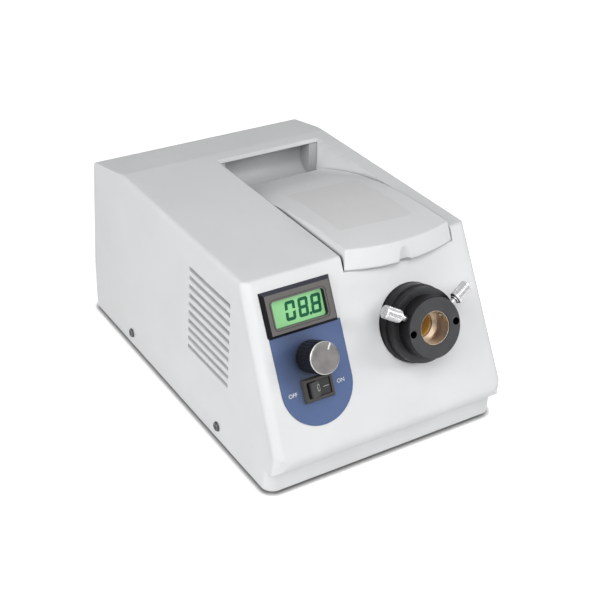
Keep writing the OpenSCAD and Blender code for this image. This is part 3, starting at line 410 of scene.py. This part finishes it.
def moulded(name, rgb, rough=0.42, grain=1400, depth=0.06 * MM, edge=0.6 * MM, sheen=0.5):
    """Moulded plastic: a fine spark-eroded grain, faint clouding and uneven gloss."""
    mat, tree, shader = new_material(name)
    coords = object_coords(tree)
    fine = noise(tree, coords, grain, 2)
    broad = noise(tree, coords, 22, 3)
    vary_colour(tree, shader, spread(tree, broad, 0, 1), rgb, first=0.975, last=1.02)
    tree.links.new(spread(tree, fine, rough - 0.05, rough + 0.06), shader.inputs["Roughness"])
    shader.inputs["Specular IOR Level"].default_value = sheen
    bump(tree, shader, fine, depth, strength=0.5, edge=edge)
    return mat


def turned(
    name, rgb, at, axis, rough=0.3, metallic=1.0, pitch=0.35 * MM, depth=0.02 * MM,
    edge=0.3 * MM, rim=None,
):
    """Turned metal: rings about an axis, and smudges; rim is a radius and the colour past it."""
    mat, tree, shader = new_material(name)
    coords = object_coords(tree, at, axis)
    rings = waves(tree, coords, "RINGS", pitch, 0.6)
    smudge = noise(tree, coords, 140, 4)
    vary_colour(tree, shader, spread(tree, smudge, 0, 1), rgb, first=0.9, last=1.05)
    tree.links.new(spread(tree, smudge, rough - 0.06, rough + 0.1), shader.inputs["Roughness"])
    shader.inputs["Metallic"].default_value = metallic
    if rim:
        radius, tone = rim
        past = spread(tree, off_axis(tree, coords), 0, 1, radius, radius + 0.1 * MM)
        two_tone(tree, shader, past, tone)
    bump(tree, shader, rings, depth, strength=0.6, edge=edge)
    return mat


def sided(material, rgb):
    """A copy of a turned material with painted shade: darker and less glossy where it leans from
    the guide's axis, and darker in its hollows.
    """
    mat = material.copy()
    mat.name = material.name + "_sides"
    tree = mat.node_tree
    shader = tree.nodes["Principled BSDF"]
    leaning = chain(tree, "SUBTRACT", 1.0, facing(tree, GUIDE_OUT))
    # Painted shade: the sides that lean from the guide's axis get a darker colour.
    two_tone(tree, shader, leaning, rgb)
    sheen = spread(tree, leaning, 0.5, 0.15, 0, 1)
    tree.links.new(sheen, shader.inputs["Specular IOR Level"])
    occluded(mat, 6 * MM)
    return mat


def plated(
    name, rgb, rough=0.28, metallic=1.0, scale=90, depth=0.03 * MM, edge=0.3 * MM, groove=0.0
):
    """Plated or rolled metal: drawn streaks and blotches; groove is the reach of painted shade in
    its grooves.
    """
    mat, tree, shader = new_material(name)
    coords = object_coords(tree)
    stretch = add(tree, "ShaderNodeMapping")
    stretch.inputs["Scale"].default_value = (1, 0.06, 1)
    tree.links.new(coords, stretch.inputs["Vector"])
    streaks = noise(tree, stretch.outputs["Vector"], scale * 12, 3)
    blotch = noise(tree, coords, scale, 4)
    vary_colour(tree, shader, spread(tree, blotch, 0, 1), rgb, first=0.88, last=1.05)
    tree.links.new(spread(tree, streaks, rough - 0.07, rough + 0.12), shader.inputs["Roughness"])
    shader.inputs["Metallic"].default_value = metallic
    if groove:
        occluded(mat, groove)
    bump(tree, shader, streaks, depth, strength=0.5, edge=edge)
    return mat


def framed(name, rgb, slope, upper, rough=0.5):
    """A bezel with a satin front and gloss black sloping edges, partly darkened by painted shade,
    the upper one greyer by a painted highlight; painted shade in its grooves.
    """
    mat, tree, shader = new_material(name)
    grain = noise(tree, object_coords(tree), 2000, 2)
    vary_colour(tree, shader, spread(tree, grain, 0, 1), rgb)
    leaning = chain(tree, "SUBTRACT", 1.0, facing(tree, FACE_OUT))
    # The slopes' black is partly the bezel's gloss black and partly painted shade.
    two_tone(tree, shader, leaning, slope)
    # Painted highlight on the upper slope.
    two_tone(tree, shader, facing(tree, FACE_UP, 0.3, 0.5), upper)
    sheen = spread(tree, leaning, 0.5, 0.08, 0, 1)
    tree.links.new(sheen, shader.inputs["Specular IOR Level"])
    gloss = chain(tree, "MULTIPLY", leaning, 0.25)
    dull = chain(tree, "SUBTRACT", spread(tree, grain, rough, rough + 0.08), gloss)
    tree.links.new(dull, shader.inputs["Roughness"])
    # Painted shade in the bezel's grooves.
    occluded(mat, 1.2 * MM)
    bump(tree, shader, grain, 0.03 * MM, strength=0.5)
    return mat


def clear_glass(name, rgb, rough=0.03):
    """Clear or tinted glass with faint drawn waves."""
    mat, tree, shader = new_material(name)
    shader.inputs["Base Color"].default_value = (*rgb, 1)
    shader.inputs["Transmission Weight"].default_value = 0.9
    shader.inputs["IOR"].default_value = 1.46
    drawn = noise(tree, object_coords(tree), 120, 2)
    tree.links.new(spread(tree, drawn, rough, rough + 0.05), shader.inputs["Roughness"])
    bump(tree, shader, drawn, 0.02 * MM, strength=0.4)
    return mat


def banded(name, light, dark, axis, pitch, rough=0.5, metallic=0.0, relief=0.1 * MM):
    """Layers stacked along an axis, such as laminations or wound tape."""
    mat, tree, shader = new_material(name)
    coords = object_coords(tree, axis=axis)
    bands = waves(tree, coords, "BANDS", pitch, 0.4)
    blend(tree, shader, bands, dark, light)
    blotch = noise(tree, coords, 160, 3)
    tree.links.new(spread(tree, blotch, rough - 0.08, rough + 0.12), shader.inputs["Roughness"])
    shader.inputs["Metallic"].default_value = metallic
    bump(tree, shader, bands, relief, strength=0.5)
    return mat


def display_glow(name, rgb):
    """Back-lit display: a green glow, a little weaker towards its right end as a painted shadow of
    the bezel.
    """
    mat, tree, shader = new_material(name)
    low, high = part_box("meter_window")
    coords = object_coords(tree)
    place = add(tree, "ShaderNodeSeparateXYZ")
    tree.links.new(coords, place.inputs["Vector"])
    across = spread(tree, place.outputs["X"], 0, 1, low.x, high.x)
    grain = noise(tree, coords, 900, 2)
    # Painted shadow of the bezel: glow and colour fall off towards the right end.
    glow = vary_colour(tree, shader, across, rgb, first=1.08, last=0.85)
    tree.links.new(glow, shader.inputs["Emission Color"])
    shader.inputs["Emission Strength"].default_value = 0.55
    tree.links.new(spread(tree, grain, 0.3, 0.4), shader.inputs["Roughness"])
    bump(tree, shader, grain, 0.01 * MM, strength=0.3)
    return mat


def printed_board(name):
    """Circuit board: green solder mask over traces, with tinned dots."""
    mat, tree, shader = new_material(name)
    coords = object_coords(tree)
    cells = add(tree, "ShaderNodeTexVoronoi", distance="MANHATTAN", feature="F1", Scale=260)
    tree.links.new(coords, cells.inputs["Vector"])
    lines = add(tree, "ShaderNodeTexBrick", Scale=110)
    lines.inputs["Color1"].default_value = (0.012, 0.13, 0.05, 1)
    lines.inputs["Color2"].default_value = (0.02, 0.19, 0.08, 1)
    lines.inputs["Mortar"].default_value = (0.03, 0.30, 0.13, 1)
    tree.links.new(coords, lines.inputs["Vector"])
    tree.links.new(lines.outputs["Color"], shader.inputs["Base Color"])
    gloss = spread(tree, cells.outputs["Distance"], 0.25, 0.5, 0, 1)
    tree.links.new(gloss, shader.inputs["Roughness"])
    bump(tree, shader, lines.outputs["Fac"], 0.05 * MM, strength=0.6)
    return mat


def rubber(name):
    """Black rubber, matt and dusty in its hollows."""
    mat, tree, shader = new_material(name)
    dust = noise(tree, object_coords(tree), 260, 5)
    black = (0.02, 0.02, 0.02)
    vary_colour(tree, shader, spread(tree, dust, 0, 1), black, first=0.7, last=2.2)
    tree.links.new(spread(tree, dust, 0.7, 0.9), shader.inputs["Roughness"])
    bump(tree, shader, dust, 0.08 * MM, strength=0.5, edge=0.5 * MM)
    return mat


def dress(material, *nodes):
    """Gives CAD nodes a material in place of their plain one."""
    for name in nodes:
        mesh = frame["nodes"][name].data
        mesh.materials.clear()
        mesh.materials.append(material)


# ----------------------------------------------------------------- new pieces


def finished(mesh_bm, name, body, material, smooth=False):
    """Turns a bmesh, already in place, into a piece that rides on a body."""
    bmesh.ops.remove_doubles(mesh_bm, verts=mesh_bm.verts, dist=1e-6)
    bmesh.ops.recalc_face_normals(mesh_bm, faces=mesh_bm.faces)
    mesh = bpy.data.meshes.new(name)
    mesh_bm.to_mesh(mesh)
    mesh_bm.free()
    mesh.materials.append(material)
    for face in mesh.polygons:
        face.use_smooth = smooth
    if smooth:
        mesh.set_sharp_from_angle(angle=math.radians(30))
    piece = bpy.data.objects.new(name, mesh)
    bpy.context.scene.collection.objects.link(piece)
    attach(piece, body)


def tree_of(name):
    """A search tree over a CAD node's surface."""
    mesh = frame["nodes"][name].data
    return BVHTree.FromPolygons([v.co for v in mesh.vertices], [p.vertices for p in mesh.polygons])


def surface_matrix(at, out=FACE_OUT, up=FACE_UP):
    """Local Z out of a surface and Y up it, from a point."""
    return Matrix.Translation(at) @ Matrix((up.cross(out), up, out)).transposed().to_4x4()


def slab(bm, width, height, thick, at=(0, 0), corner=0.0):
    """A flat bar lying on local XY, its upright edges bevelled."""
    made = bmesh.ops.create_cube(bm, size=1)["verts"]
    bmesh.ops.scale(bm, verts=made, vec=(width, height, thick))
    bmesh.ops.translate(bm, verts=made, vec=(at[0], at[1], thick / 2))
    if corner:
        edges = {edge for vert in made for edge in vert.link_edges}
        upright = [e for e in edges if abs(e.verts[0].co.z - e.verts[1].co.z) > thick / 2]
        bmesh.ops.bevel(
            bm, geom=upright, offset=corner, segments=4, profile=0.5, affect="EDGES", material=-1
        )


def thicken(bm, faces, thick):
    """Raises faces along Z, with walls round them."""
    raised = bmesh.ops.extrude_face_region(bm, geom=faces)["geom"]
    verts = [item for item in raised if isinstance(item, bmesh.types.BMVert)]
    bmesh.ops.translate(bm, verts=verts, vec=(0, 0, thick))


def display_segment(bm, corners, thick):
    """One bar of a digit: its outline, raised."""
    face = bm.faces.new([bm.verts.new((*corner, 0)) for corner in corners])
    thicken(bm, [face], thick)


def bar_end(at, along, inward, bar, cut):
    """Outline round a bar's end: chamfered at the digit's corner if cut is given, else mitred."""
    if cut:
        return [at + (along + inward) * bar, at + (along + inward) * cut / 2, at + along * cut]
    return [at + inward * bar + along * bar / 2, at + along * bar / 4]


def display_digit(bm, figure, left, height, thick):
    """The lit segments of one digit, from its left edge; they meet at their mitres."""
    width, bar, cut = height * DIGIT_WIDE, height * DIGIT_BAR, height * DIGIT_CUT
    for key in SEGMENTS[figure]:
        ends = OUTLINE[key]
        start, end = (Vector((left + col * width, row * height / 2)) for col, row in ends)
        along = (end - start).normalized()
        inward = Vector((along.y, -along.x))
        if key == "g":
            corners = [start, start + (along + inward) * bar / 2, end - (along - inward) * bar / 2]
            corners += [end, end - (along + inward) * bar / 2, start + (along - inward) * bar / 2]
        else:
            first_cut, last_cut = (cut * abs(row) for _, row in ends)
            corners = bar_end(start, along, inward, bar, first_cut)
            corners += reversed(bar_end(end, -along, inward, bar, last_cut))
        display_segment(bm, corners, thick)


class PIECE_OT_display_figures(bpy.types.Operator):
    """Dark segments behind the display's window"""

    bl_idname = "light_source.display_figures"
    bl_label = "Display figures"

    def execute(self, context):
        sizes = context.scene.print_settings
        height = sizes.digit_height
        pitch = height * DIGIT_PITCH
        low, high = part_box("meter_window")
        digits = len(sizes.figures.replace(".", ""))
        left = (high.x - low.x) / 2 - DIGIT_MARGIN - height * DIGIT_WIDE - (digits - 1) * pitch
        bm = bmesh.new()
        for figure in sizes.figures:
            if figure == ".":
                side = height * POINT_SIDE
                at = (left - pitch * POINT_BACK, (side - height) / 2)
                slab(bm, side, side, PRINT_THICK, at)
                continue
            display_digit(bm, figure, left, height, PRINT_THICK)
            left += pitch
        slant = Matrix.Identity(4)
        slant[0][1] = math.tan(sizes.digit_slant)
        place = surface_matrix((low + high) / 2 + FACE_OUT * DISPLAY_FRONT)
        bmesh.ops.transform(bm, matrix=place @ slant, verts=bm.verts)
        dark = context.scene.finish_settings.figures
        ink = moulded(
            "display_ink", dark, rough=0.6, grain=900, depth=0.005 * MM, edge=0, sheen=0.2
        )
        finished(bm, "display_figures", "housing", ink)
        return {"FINISHED"}


def lettering(text, height, at, name, material, body="housing", out=FACE_OUT):
    """Raised print on a surface: text made a mesh, then placed."""
    curve = bpy.data.curves.new(name, "FONT")
    curve.body = text
    curve.size = height / CAPITAL_SHARE
    curve.align_x, curve.align_y = "CENTER", "CENTER"
    curve.extrude = PRINT_THICK
    holder = bpy.data.objects.new(name, curve)
    bpy.context.scene.collection.objects.link(holder)
    mesh = holder.to_mesh().copy()
    bpy.data.objects.remove(holder)
    bm = bmesh.new()
    bm.from_mesh(mesh)
    bmesh.ops.transform(bm, matrix=surface_matrix(at, out), verts=bm.verts)
    finished(bm, name, body, material)


class PIECE_OT_lettering(bpy.types.Operator):
    """OFF and ON beside the switch, and the marks on its paddle"""

    bl_idname = "light_source.lettering"
    bl_label = "Switch lettering"

    def execute(self, context):
        height = context.scene.print_settings.letter_height
        plain = {"rough": 0.5, "grain": 2600, "depth": 0.01 * MM, "edge": 0}
        ink = moulded("white_print", (0.84, 0.86, 0.88), **plain)
        for text, across in WORDS.items():
            at = SWITCH_AT + ACROSS * across + FACE_OUT * WORD_LIFT - FACE_UP * WORD_DROP
            lettering(text, height, at, "print_" + text.lower(), ink)
        self.paddle_marks(moulded("grey_print", (0.36, 0.36, 0.36), **plain))
        return {"FINISHED"}

    def paddle_marks(self, ink):
        """The mark 0 on the raised half and the dash on the pressed half, on the paddle itself."""
        paddle = tree_of("rocker_paddle")

        def surface(across):
            above = SWITCH_AT + ACROSS * across + FACE_OUT * PROBE_FACE
            place, normal = paddle.ray_cast(above, -FACE_OUT)[:2]
            return place + normal * MARK_LIFT, normal

        at, out = surface(ZERO_ACROSS)
        lettering("0", ZERO_HEIGHT, at, "paddle_zero", ink, "paddle", out)
        at, out = surface(DASH_ACROSS)
        bm = bmesh.new()
        slab(bm, DASH_WIDE, DASH_HIGH, PRINT_THICK)
        bmesh.ops.transform(bm, matrix=surface_matrix(at, out), verts=bm.verts)
        finished(bm, "paddle_dash", "paddle", ink)


class PIECE_OT_pointer(bpy.types.Operator):
    """White paint in the groove of the knob's cap"""

    bl_idname = "light_source.pointer"
    bl_label = "Knob pointer"

    def execute(self, context):
        low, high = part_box("knob_cap")
        along = FACE_UP * math.cos(POINTER_TURN) - ACROSS * math.sin(POINTER_TURN)
        middle = KNOB_AT + along * ((high.x - low.x) / 2 - POINTER_IN)
        groove = tree_of("knob_cap").ray_cast(middle + FACE_OUT * PROBE_FACE, -FACE_OUT)[0]
        bm = bmesh.new()
        slab(bm, POINTER_WIDE, POINTER_LONG, POINTER_DEEP, corner=POINTER_CORNER)
        bmesh.ops.transform(bm, matrix=surface_matrix(groove, up=along), verts=bm.verts)
        paint = moulded(
            "white_paint", (0.85, 0.85, 0.84), rough=0.4, grain=1800, depth=0.01 * MM,
            edge=0.1 * MM,
        )
        finished(bm, "pointer_paint", "knob", paint)
        return {"FINISHED"}


class PIECE_OT_lid_plate(bpy.types.Operator):
    """Bare grey film that follows the lid's curve"""

    bl_idname = "light_source.lid_plate"
    bl_label = "Lid plate"

    def execute(self, context):
        sizes = context.scene.print_settings
        lid = tree_of("lamp_lid")
        bm = bmesh.new()
        bmesh.ops.create_grid(bm, x_segments=12, y_segments=48, size=0.5)
        bmesh.ops.scale(bm, verts=bm.verts, vec=(*sizes.plate_size, 1))
        turn = Matrix.Rotation(sizes.plate_turn, 4, "Z")
        place = Matrix.Translation((*sizes.plate_at, PROBE_TOP)) @ turn
        bmesh.ops.transform(bm, matrix=place, verts=bm.verts)
        for vert in bm.verts:
            vert.co.z = lid.ray_cast(vert.co, Vector((0, 0, -1)))[0].z + FILM_LIFT
        thicken(bm, bm.faces[:], FILM_THICK)
        grey = context.scene.finish_settings.film
        film = moulded(
            "lid_film", grey, rough=0.55, grain=2200, depth=0.02 * MM, edge=0, sheen=0.15
        )
        finished(bm, "lid_plate", "lid", film, smooth=True)
        return {"FINISHED"}


class PIECE_OT_finishes(bpy.types.Operator):
    """Finishes of every construction node"""

    bl_idname = "light_source.finishes"
    bl_label = "Finishes"

    def execute(self, context):
        tones = context.scene.finish_settings
        self.body(tones)
        self.controls(tones)
        self.guide(tones)
        self.metal(tones)
        self.inside()
        return {"FINISHED"}

    def body(self, tones):
        """Housing, lid, grip, feet, sheet-steel parts, and the black parts of fan and inlet."""
        skin = {"rough": 0.55, "grain": 1500, "depth": 0.07 * MM, "sheen": 0.15}
        dress(moulded("housing_plastic", tones.housing, edge=0.9 * MM, **skin), "upper_housing")
        lid = moulded("lid_plastic", tones.lid, edge=1.6 * MM, **skin)
        # Painted shade in the gaps round the lid and under its lip.
        occluded(lid, 2.5 * MM, full=0.3)
        dress(lid, "lamp_lid")
        grip = moulded(
            "grip_plastic", tones.grip, rough=0.34, grain=1500, depth=0.07 * MM, edge=0.9 * MM
        )
        # Painted shade deep in the handle's pocket.
        occluded(grip, 30 * MM, full=-0.6)
        dress(grip, "handle_pocket")
        black = moulded("black_plastic", tones.black, grain=1800, depth=0.05 * MM, edge=0.3 * MM)
        dress(black, "fan_frame", "fan_rotor", "mains_inlet", "fuse_drawer")
        coat = moulded(
            "grey_powder_coat", (0.55, 0.56, 0.57), rough=0.55, grain=900, depth=0.1 * MM,
            edge=0.4 * MM,
        )
        dress(coat, "base_tray", "rear_panel")
        dress(rubber("foot_rubber"), "rubber_feet")

    def controls(self, tones):
        """Overlay, meter, knob and switch."""
        overlay = moulded(
            "overlay_film", tones.overlay, rough=0.36, grain=2400, depth=0.01 * MM, edge=0.1 * MM
        )
        # Painted shadow of the knob and other raised parts, falling to their left.
        occluded(overlay, 18 * MM, full=0.1, lean=(FACE_OUT * 0.8 + ACROSS).normalized())
        dress(overlay, "front_overlay")
        dress(framed("meter_bezel", tones.meter, tones.slope, tones.slope_top_highlight), "meter_case")
        dress(display_glow("display_panel", tones.display), "meter_window")
        knob = moulded(
            "knob_plastic", (0.008, 0.008, 0.009), rough=0.3, grain=2000, depth=0.03 * MM,
            edge=0.2 * MM, sheen=0.25,
        )
        dress(knob, "brightness_knob")
        low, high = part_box("knob_cap")
        # The colour past the rim radius is a painted highlight on the cap's rim.
        rim = ((high.x - low.x) / 2 - 0.35 * MM, (0.6, 0.59, 0.58))
        cap = turned(
            "spun_cap", tones.spun, KNOB_AT, FACE_OUT, rough=0.34, pitch=0.3 * MM, rim=rim
        )
        dress(cap, "knob_cap")
        skin = {"grain": 2600, "depth": 0.01 * MM, "edge": 0.3 * MM}
        dress(moulded("switch_frame", tones.switch, rough=0.4, sheen=0.4, **skin), "rocker_frame")
        dress(moulded("switch_paddle", tones.black, rough=0.3, **skin), "rocker_paddle")

    def guide(self, tones):
        """The light guide's collar, bush and tube."""
        axis = (GUIDE_AT, GUIDE_OUT)
        anodised = turned(
            "black_anodised", tones.anodised, *axis, rough=0.36, metallic=0.35, pitch=0.6 * MM,
            depth=0.03 * MM, edge=0.4 * MM,
        )
        dress(anodised, "collar_screws")
        # The collar's sides carry painted shade.
        dress(sided(anodised, tones.anodised_side_shade), "guide_collar")
        rim = (BORE_RADIUS + 0.1 * MM, (0.06, 0.055, 0.05))
        bush = turned("nickel_bush", (0.60, 0.525, 0.44), *axis, metallic=0.85, rim=rim)
        dress(bush, "collar_bush")
        dress(turned("turned_brass", tones.brass, *axis, metallic=0.4), "guide_tube")

    def metal(self, tones):
        """Clamping screws, plated brackets, fasteners and wire."""
        chrome = plated(
            "chrome", (0.6, 0.6, 0.61), rough=0.26, scale=160, depth=0.01 * MM, edge=0.1 * MM,
            groove=1.2 * MM,
        )
        # Painted shade where other surfaces stand close to the thumb screws.
        occluded(chrome, 6 * MM, full=0.3)
        dress(chrome, "thumb_screw_left", "thumb_screw_right")
        zinc = plated("zinc_plate", tones.steel, rough=0.34)
        dress(zinc, "lamp_bracket", "lamp_clip", "transformer_strap", "knob_shaft", "potentiometer")
        dark = plated("dark_screw", (0.085, 0.085, 0.09), rough=0.25, scale=220, groove=1.2 * MM)
        dress(dark, "side_screws")
        screw = plated("screw_steel", (0.55, 0.55, 0.56), rough=0.24, scale=220)
        dress(screw, "lid_hinge_pins", "fan_screws", "inlet_screws", "chassis_screws")
        wire = plated("bright_wire", (0.72, 0.72, 0.72), rough=0.2)
        dress(wire, "fan_guard", "board_pillars")

    def inside(self):
        """Lamp, filter, fuse, transformer, board and heat sink."""
        dress(clear_glass("heat_glass", (0.78, 0.95, 0.9)), "heat_filter", "fuse")
        dress(clear_glass("lamp_glass", (0.9, 0.93, 1.0), rough=0.08), "halogen_lamp")
        socket = moulded(
            "steatite", (0.72, 0.68, 0.58), rough=0.65, grain=700, depth=0.1 * MM, edge=0.5 * MM
        )
        dress(socket, "lamp_socket")
        core = banded(
            "steel_laminations", light=(0.16, 0.16, 0.17), dark=(0.05, 0.05, 0.06),
            axis=(0, 1, 0), pitch=0.5 * MM, rough=0.45, metallic=0.6,
        )
        dress(core, "transformer_core")
        winding = banded(
            "winding_tape", light=(0.72, 0.47, 0.08), dark=(0.45, 0.26, 0.04),
            axis=(0, 0, 1), pitch=4 * MM, rough=0.35,
        )
        dress(winding, "transformer_winding")
        dress(printed_board("circuit_board"), "control_board")
        sleeve = moulded(
            "component_sleeve", (0.03, 0.06, 0.2), rough=0.3, grain=1200, depth=0.03 * MM,
            edge=0.5 * MM,
        )
        dress(sleeve, "board_parts")
        fins = banded(
            "extruded_aluminium", light=(0.6, 0.6, 0.62), dark=(0.42, 0.42, 0.44),
            axis=(1, 0, 0), pitch=0.6 * MM, rough=0.4, metallic=1.0, relief=0.03 * MM,
        )
        dress(fins, "heat_sink")


# ---------------------------------------------------------------------- stage


def lamp(name, at, size, watts, mirrored):
    """A large soft lamp that faces the object; mirrored says whether gloss shows it."""
    data = bpy.data.lights.new(name, "AREA")
    data.size = size
    data.energy = watts
    holder = bpy.data.objects.new(name, data)
    holder.location = at
    holder.rotation_euler = (LAMPS_FACE - Vector(at)).to_track_quat("-Z", "Y").to_euler()
    holder.visible_camera = False
    holder.visible_glossy = mirrored
    bpy.context.scene.collection.objects.link(holder)


def direct_view(tree):
    """1 for what the camera sees, straight or by way of a reflection or glass."""
    path = add(tree, "ShaderNodeLightPath")
    rays = ("Is Camera Ray", "Is Glossy Ray", "Is Transmission Ray")
    return chain(tree, "MAXIMUM", *(path.outputs[ray] for ray in rays))


def floor_paper(stage):
    """White paper that keeps the object's lit shadow, with a painted contact shadow at its foot,
    and is plain white elsewhere.
    """
    mat, tree, shader = new_material("studio_paper")
    coords = object_coords(tree)
    fibre = noise(tree, coords, 300, 2)
    white = (0.9, 0.9, 0.9)
    vary_colour(tree, shader, spread(tree, fibre, 0, 1), white, first=0.995, last=1.0)
    shader.inputs["Roughness"].default_value = 0.8
    shader.inputs["Specular IOR Level"].default_value = 0.0
    nearby = add(tree, "ShaderNodeAmbientOcclusion", samples=12, Distance=stage.contact)
    open_sky = chain(tree, "POWER", nearby.outputs["AO"], 3.0)
    # Painted contact shadow: the base colour and the glow darken near the object.
    two_tone(tree, shader, chain(tree, "SUBTRACT", 1.0, open_sky), (0, 0, 0))
    away = off_axis(tree, coords)
    far_glow = spread(tree, away, stage.paper_glow, 1.0, GLOW_RISES, GLOW_FULL)
    glow = chain(tree, "MULTIPLY", direct_view(tree), open_sky, far_glow)
    shader.inputs["Emission Color"].default_value = (1, 1, 1, 1)
    tree.links.new(glow, shader.inputs["Emission Strength"])
    return mat


class STAGE_OT_studio(bpy.types.Operator):
    """Floor, world, lamps and camera"""

    bl_idname = "light_source.studio"
    bl_label = "Studio"

    def execute(self, context):
        scene = context.scene
        stage = scene.stage_settings
        scene.view_settings.view_transform = "Standard"
        self.floor(scene, stage)
        self.world(scene, stage.ambient)
        for side, (at, size, mirrored) in LAMPS.items():
            lamp(side + "_lamp", at, size, getattr(stage, side + "_watts"), mirrored)
        self.camera(scene)
        return {"FINISHED"}

    def floor(self, scene, stage):
        """A plain sheet of paper under the feet."""
        bm = bmesh.new()
        bmesh.ops.create_grid(bm, x_segments=1, y_segments=1, size=stage.floor_size / 2)
        bmesh.ops.translate(bm, verts=bm.verts, vec=(0, 0, CAD_BOX[0].z - PAPER_DROP))
        mesh = bpy.data.meshes.new("floor")
        bm.to_mesh(mesh)
        bm.free()
        floor = bpy.data.objects.new("floor", mesh)
        scene.collection.objects.link(floor)
        mesh.materials.append(floor_paper(stage))

    def world(self, scene, ambient):
        """White to the eye and in reflections; only the ambient strength lights the object."""
        world = bpy.data.worlds.new("studio")
        scene.world = world
        world.use_nodes = True
        tree = world.node_tree
        plain = tree.nodes["Background"]
        plain.inputs["Color"].default_value = (1, 1, 1, 1)
        plain.inputs["Strength"].default_value = ambient
        white = add(tree, "ShaderNodeBackground", Strength=1.0)
        white.inputs["Color"].default_value = (1, 1, 1, 1)
        mix = add(tree, "ShaderNodeMixShader")
        tree.links.new(direct_view(tree), mix.inputs[0])
        tree.links.new(plain.outputs[0], mix.inputs[1])
        tree.links.new(white.outputs[0], mix.inputs[2])
        tree.links.new(mix.outputs[0], tree.nodes["World Output"].inputs["Surface"])

    def camera(self, scene):
        """The camera, aimed by azimuth and elevation and then rolled."""
        view = scene.camera_settings
        data = bpy.data.cameras.new("camera")
        data.lens = view.lens
        data.sensor_width = 36
        data.clip_start = 10 * MM
        holder = bpy.data.objects.new("camera", data)
        scene.collection.objects.link(holder)
        flat = math.cos(view.tilt)
        back = Vector(
            (math.sin(view.turn) * flat, -math.cos(view.turn) * flat, math.sin(view.tilt))
        )
        level = Vector((0, 0, 1)).cross(back).normalized()
        upright = back.cross(level)
        across = level * math.cos(view.roll) + upright * math.sin(view.roll)
        up = upright * math.cos(view.roll) - level * math.sin(view.roll)
        holder.rotation_mode = "QUATERNION"
        holder.rotation_quaternion = Matrix((across, up, back)).transposed().to_quaternion()
        holder.location = view.place
        scene.camera = holder


# --------------------------------------------------------------- add-on form


class VIEW3D_PT_light_source(bpy.types.Panel):
    """Everything this add-on makes"""

    bl_label = "Light source"
    bl_idname = "VIEW3D_PT_light_source"
    bl_space_type = "VIEW_3D"
    bl_region_type = "UI"
    bl_category = "Light source"

    def draw(self, context):
        for key in SETTINGS:
            group = getattr(context.scene, key)
            column = self.layout.column(align=True)
            for setting in group.__annotations__:
                column.prop(group, setting)
        for operator in OPERATORS:
            self.layout.operator(operator.bl_idname)


SETTINGS = {
    "print_settings": PrintSettings,
    "finish_settings": FinishSettings,
    "stage_settings": StageSettings,
    "camera_settings": CameraSettings,
}
OPERATORS = (
    PIECE_OT_finishes,
    PIECE_OT_display_figures,
    PIECE_OT_lettering,
    PIECE_OT_pointer,
    PIECE_OT_lid_plate,
    STAGE_OT_studio,
)
CLASSES = (*SETTINGS.values(), *OPERATORS, VIEW3D_PT_light_source)


def register():
    for cls in CLASSES:
        bpy.utils.register_class(cls)
    for key, cls in SETTINGS.items():
        setattr(bpy.types.Scene, key, bpy.props.PointerProperty(type=cls))


def unregister():
    for key in SETTINGS:
        delattr(bpy.types.Scene, key)
    for cls in reversed(CLASSES):
        bpy.utils.unregister_class(cls)


def main():
    register()
    for operator in OPERATORS:
        group, name = operator.bl_idname.split(".")
        getattr(getattr(bpy.ops, group), name)()


if __name__ == "__main__":
    main()
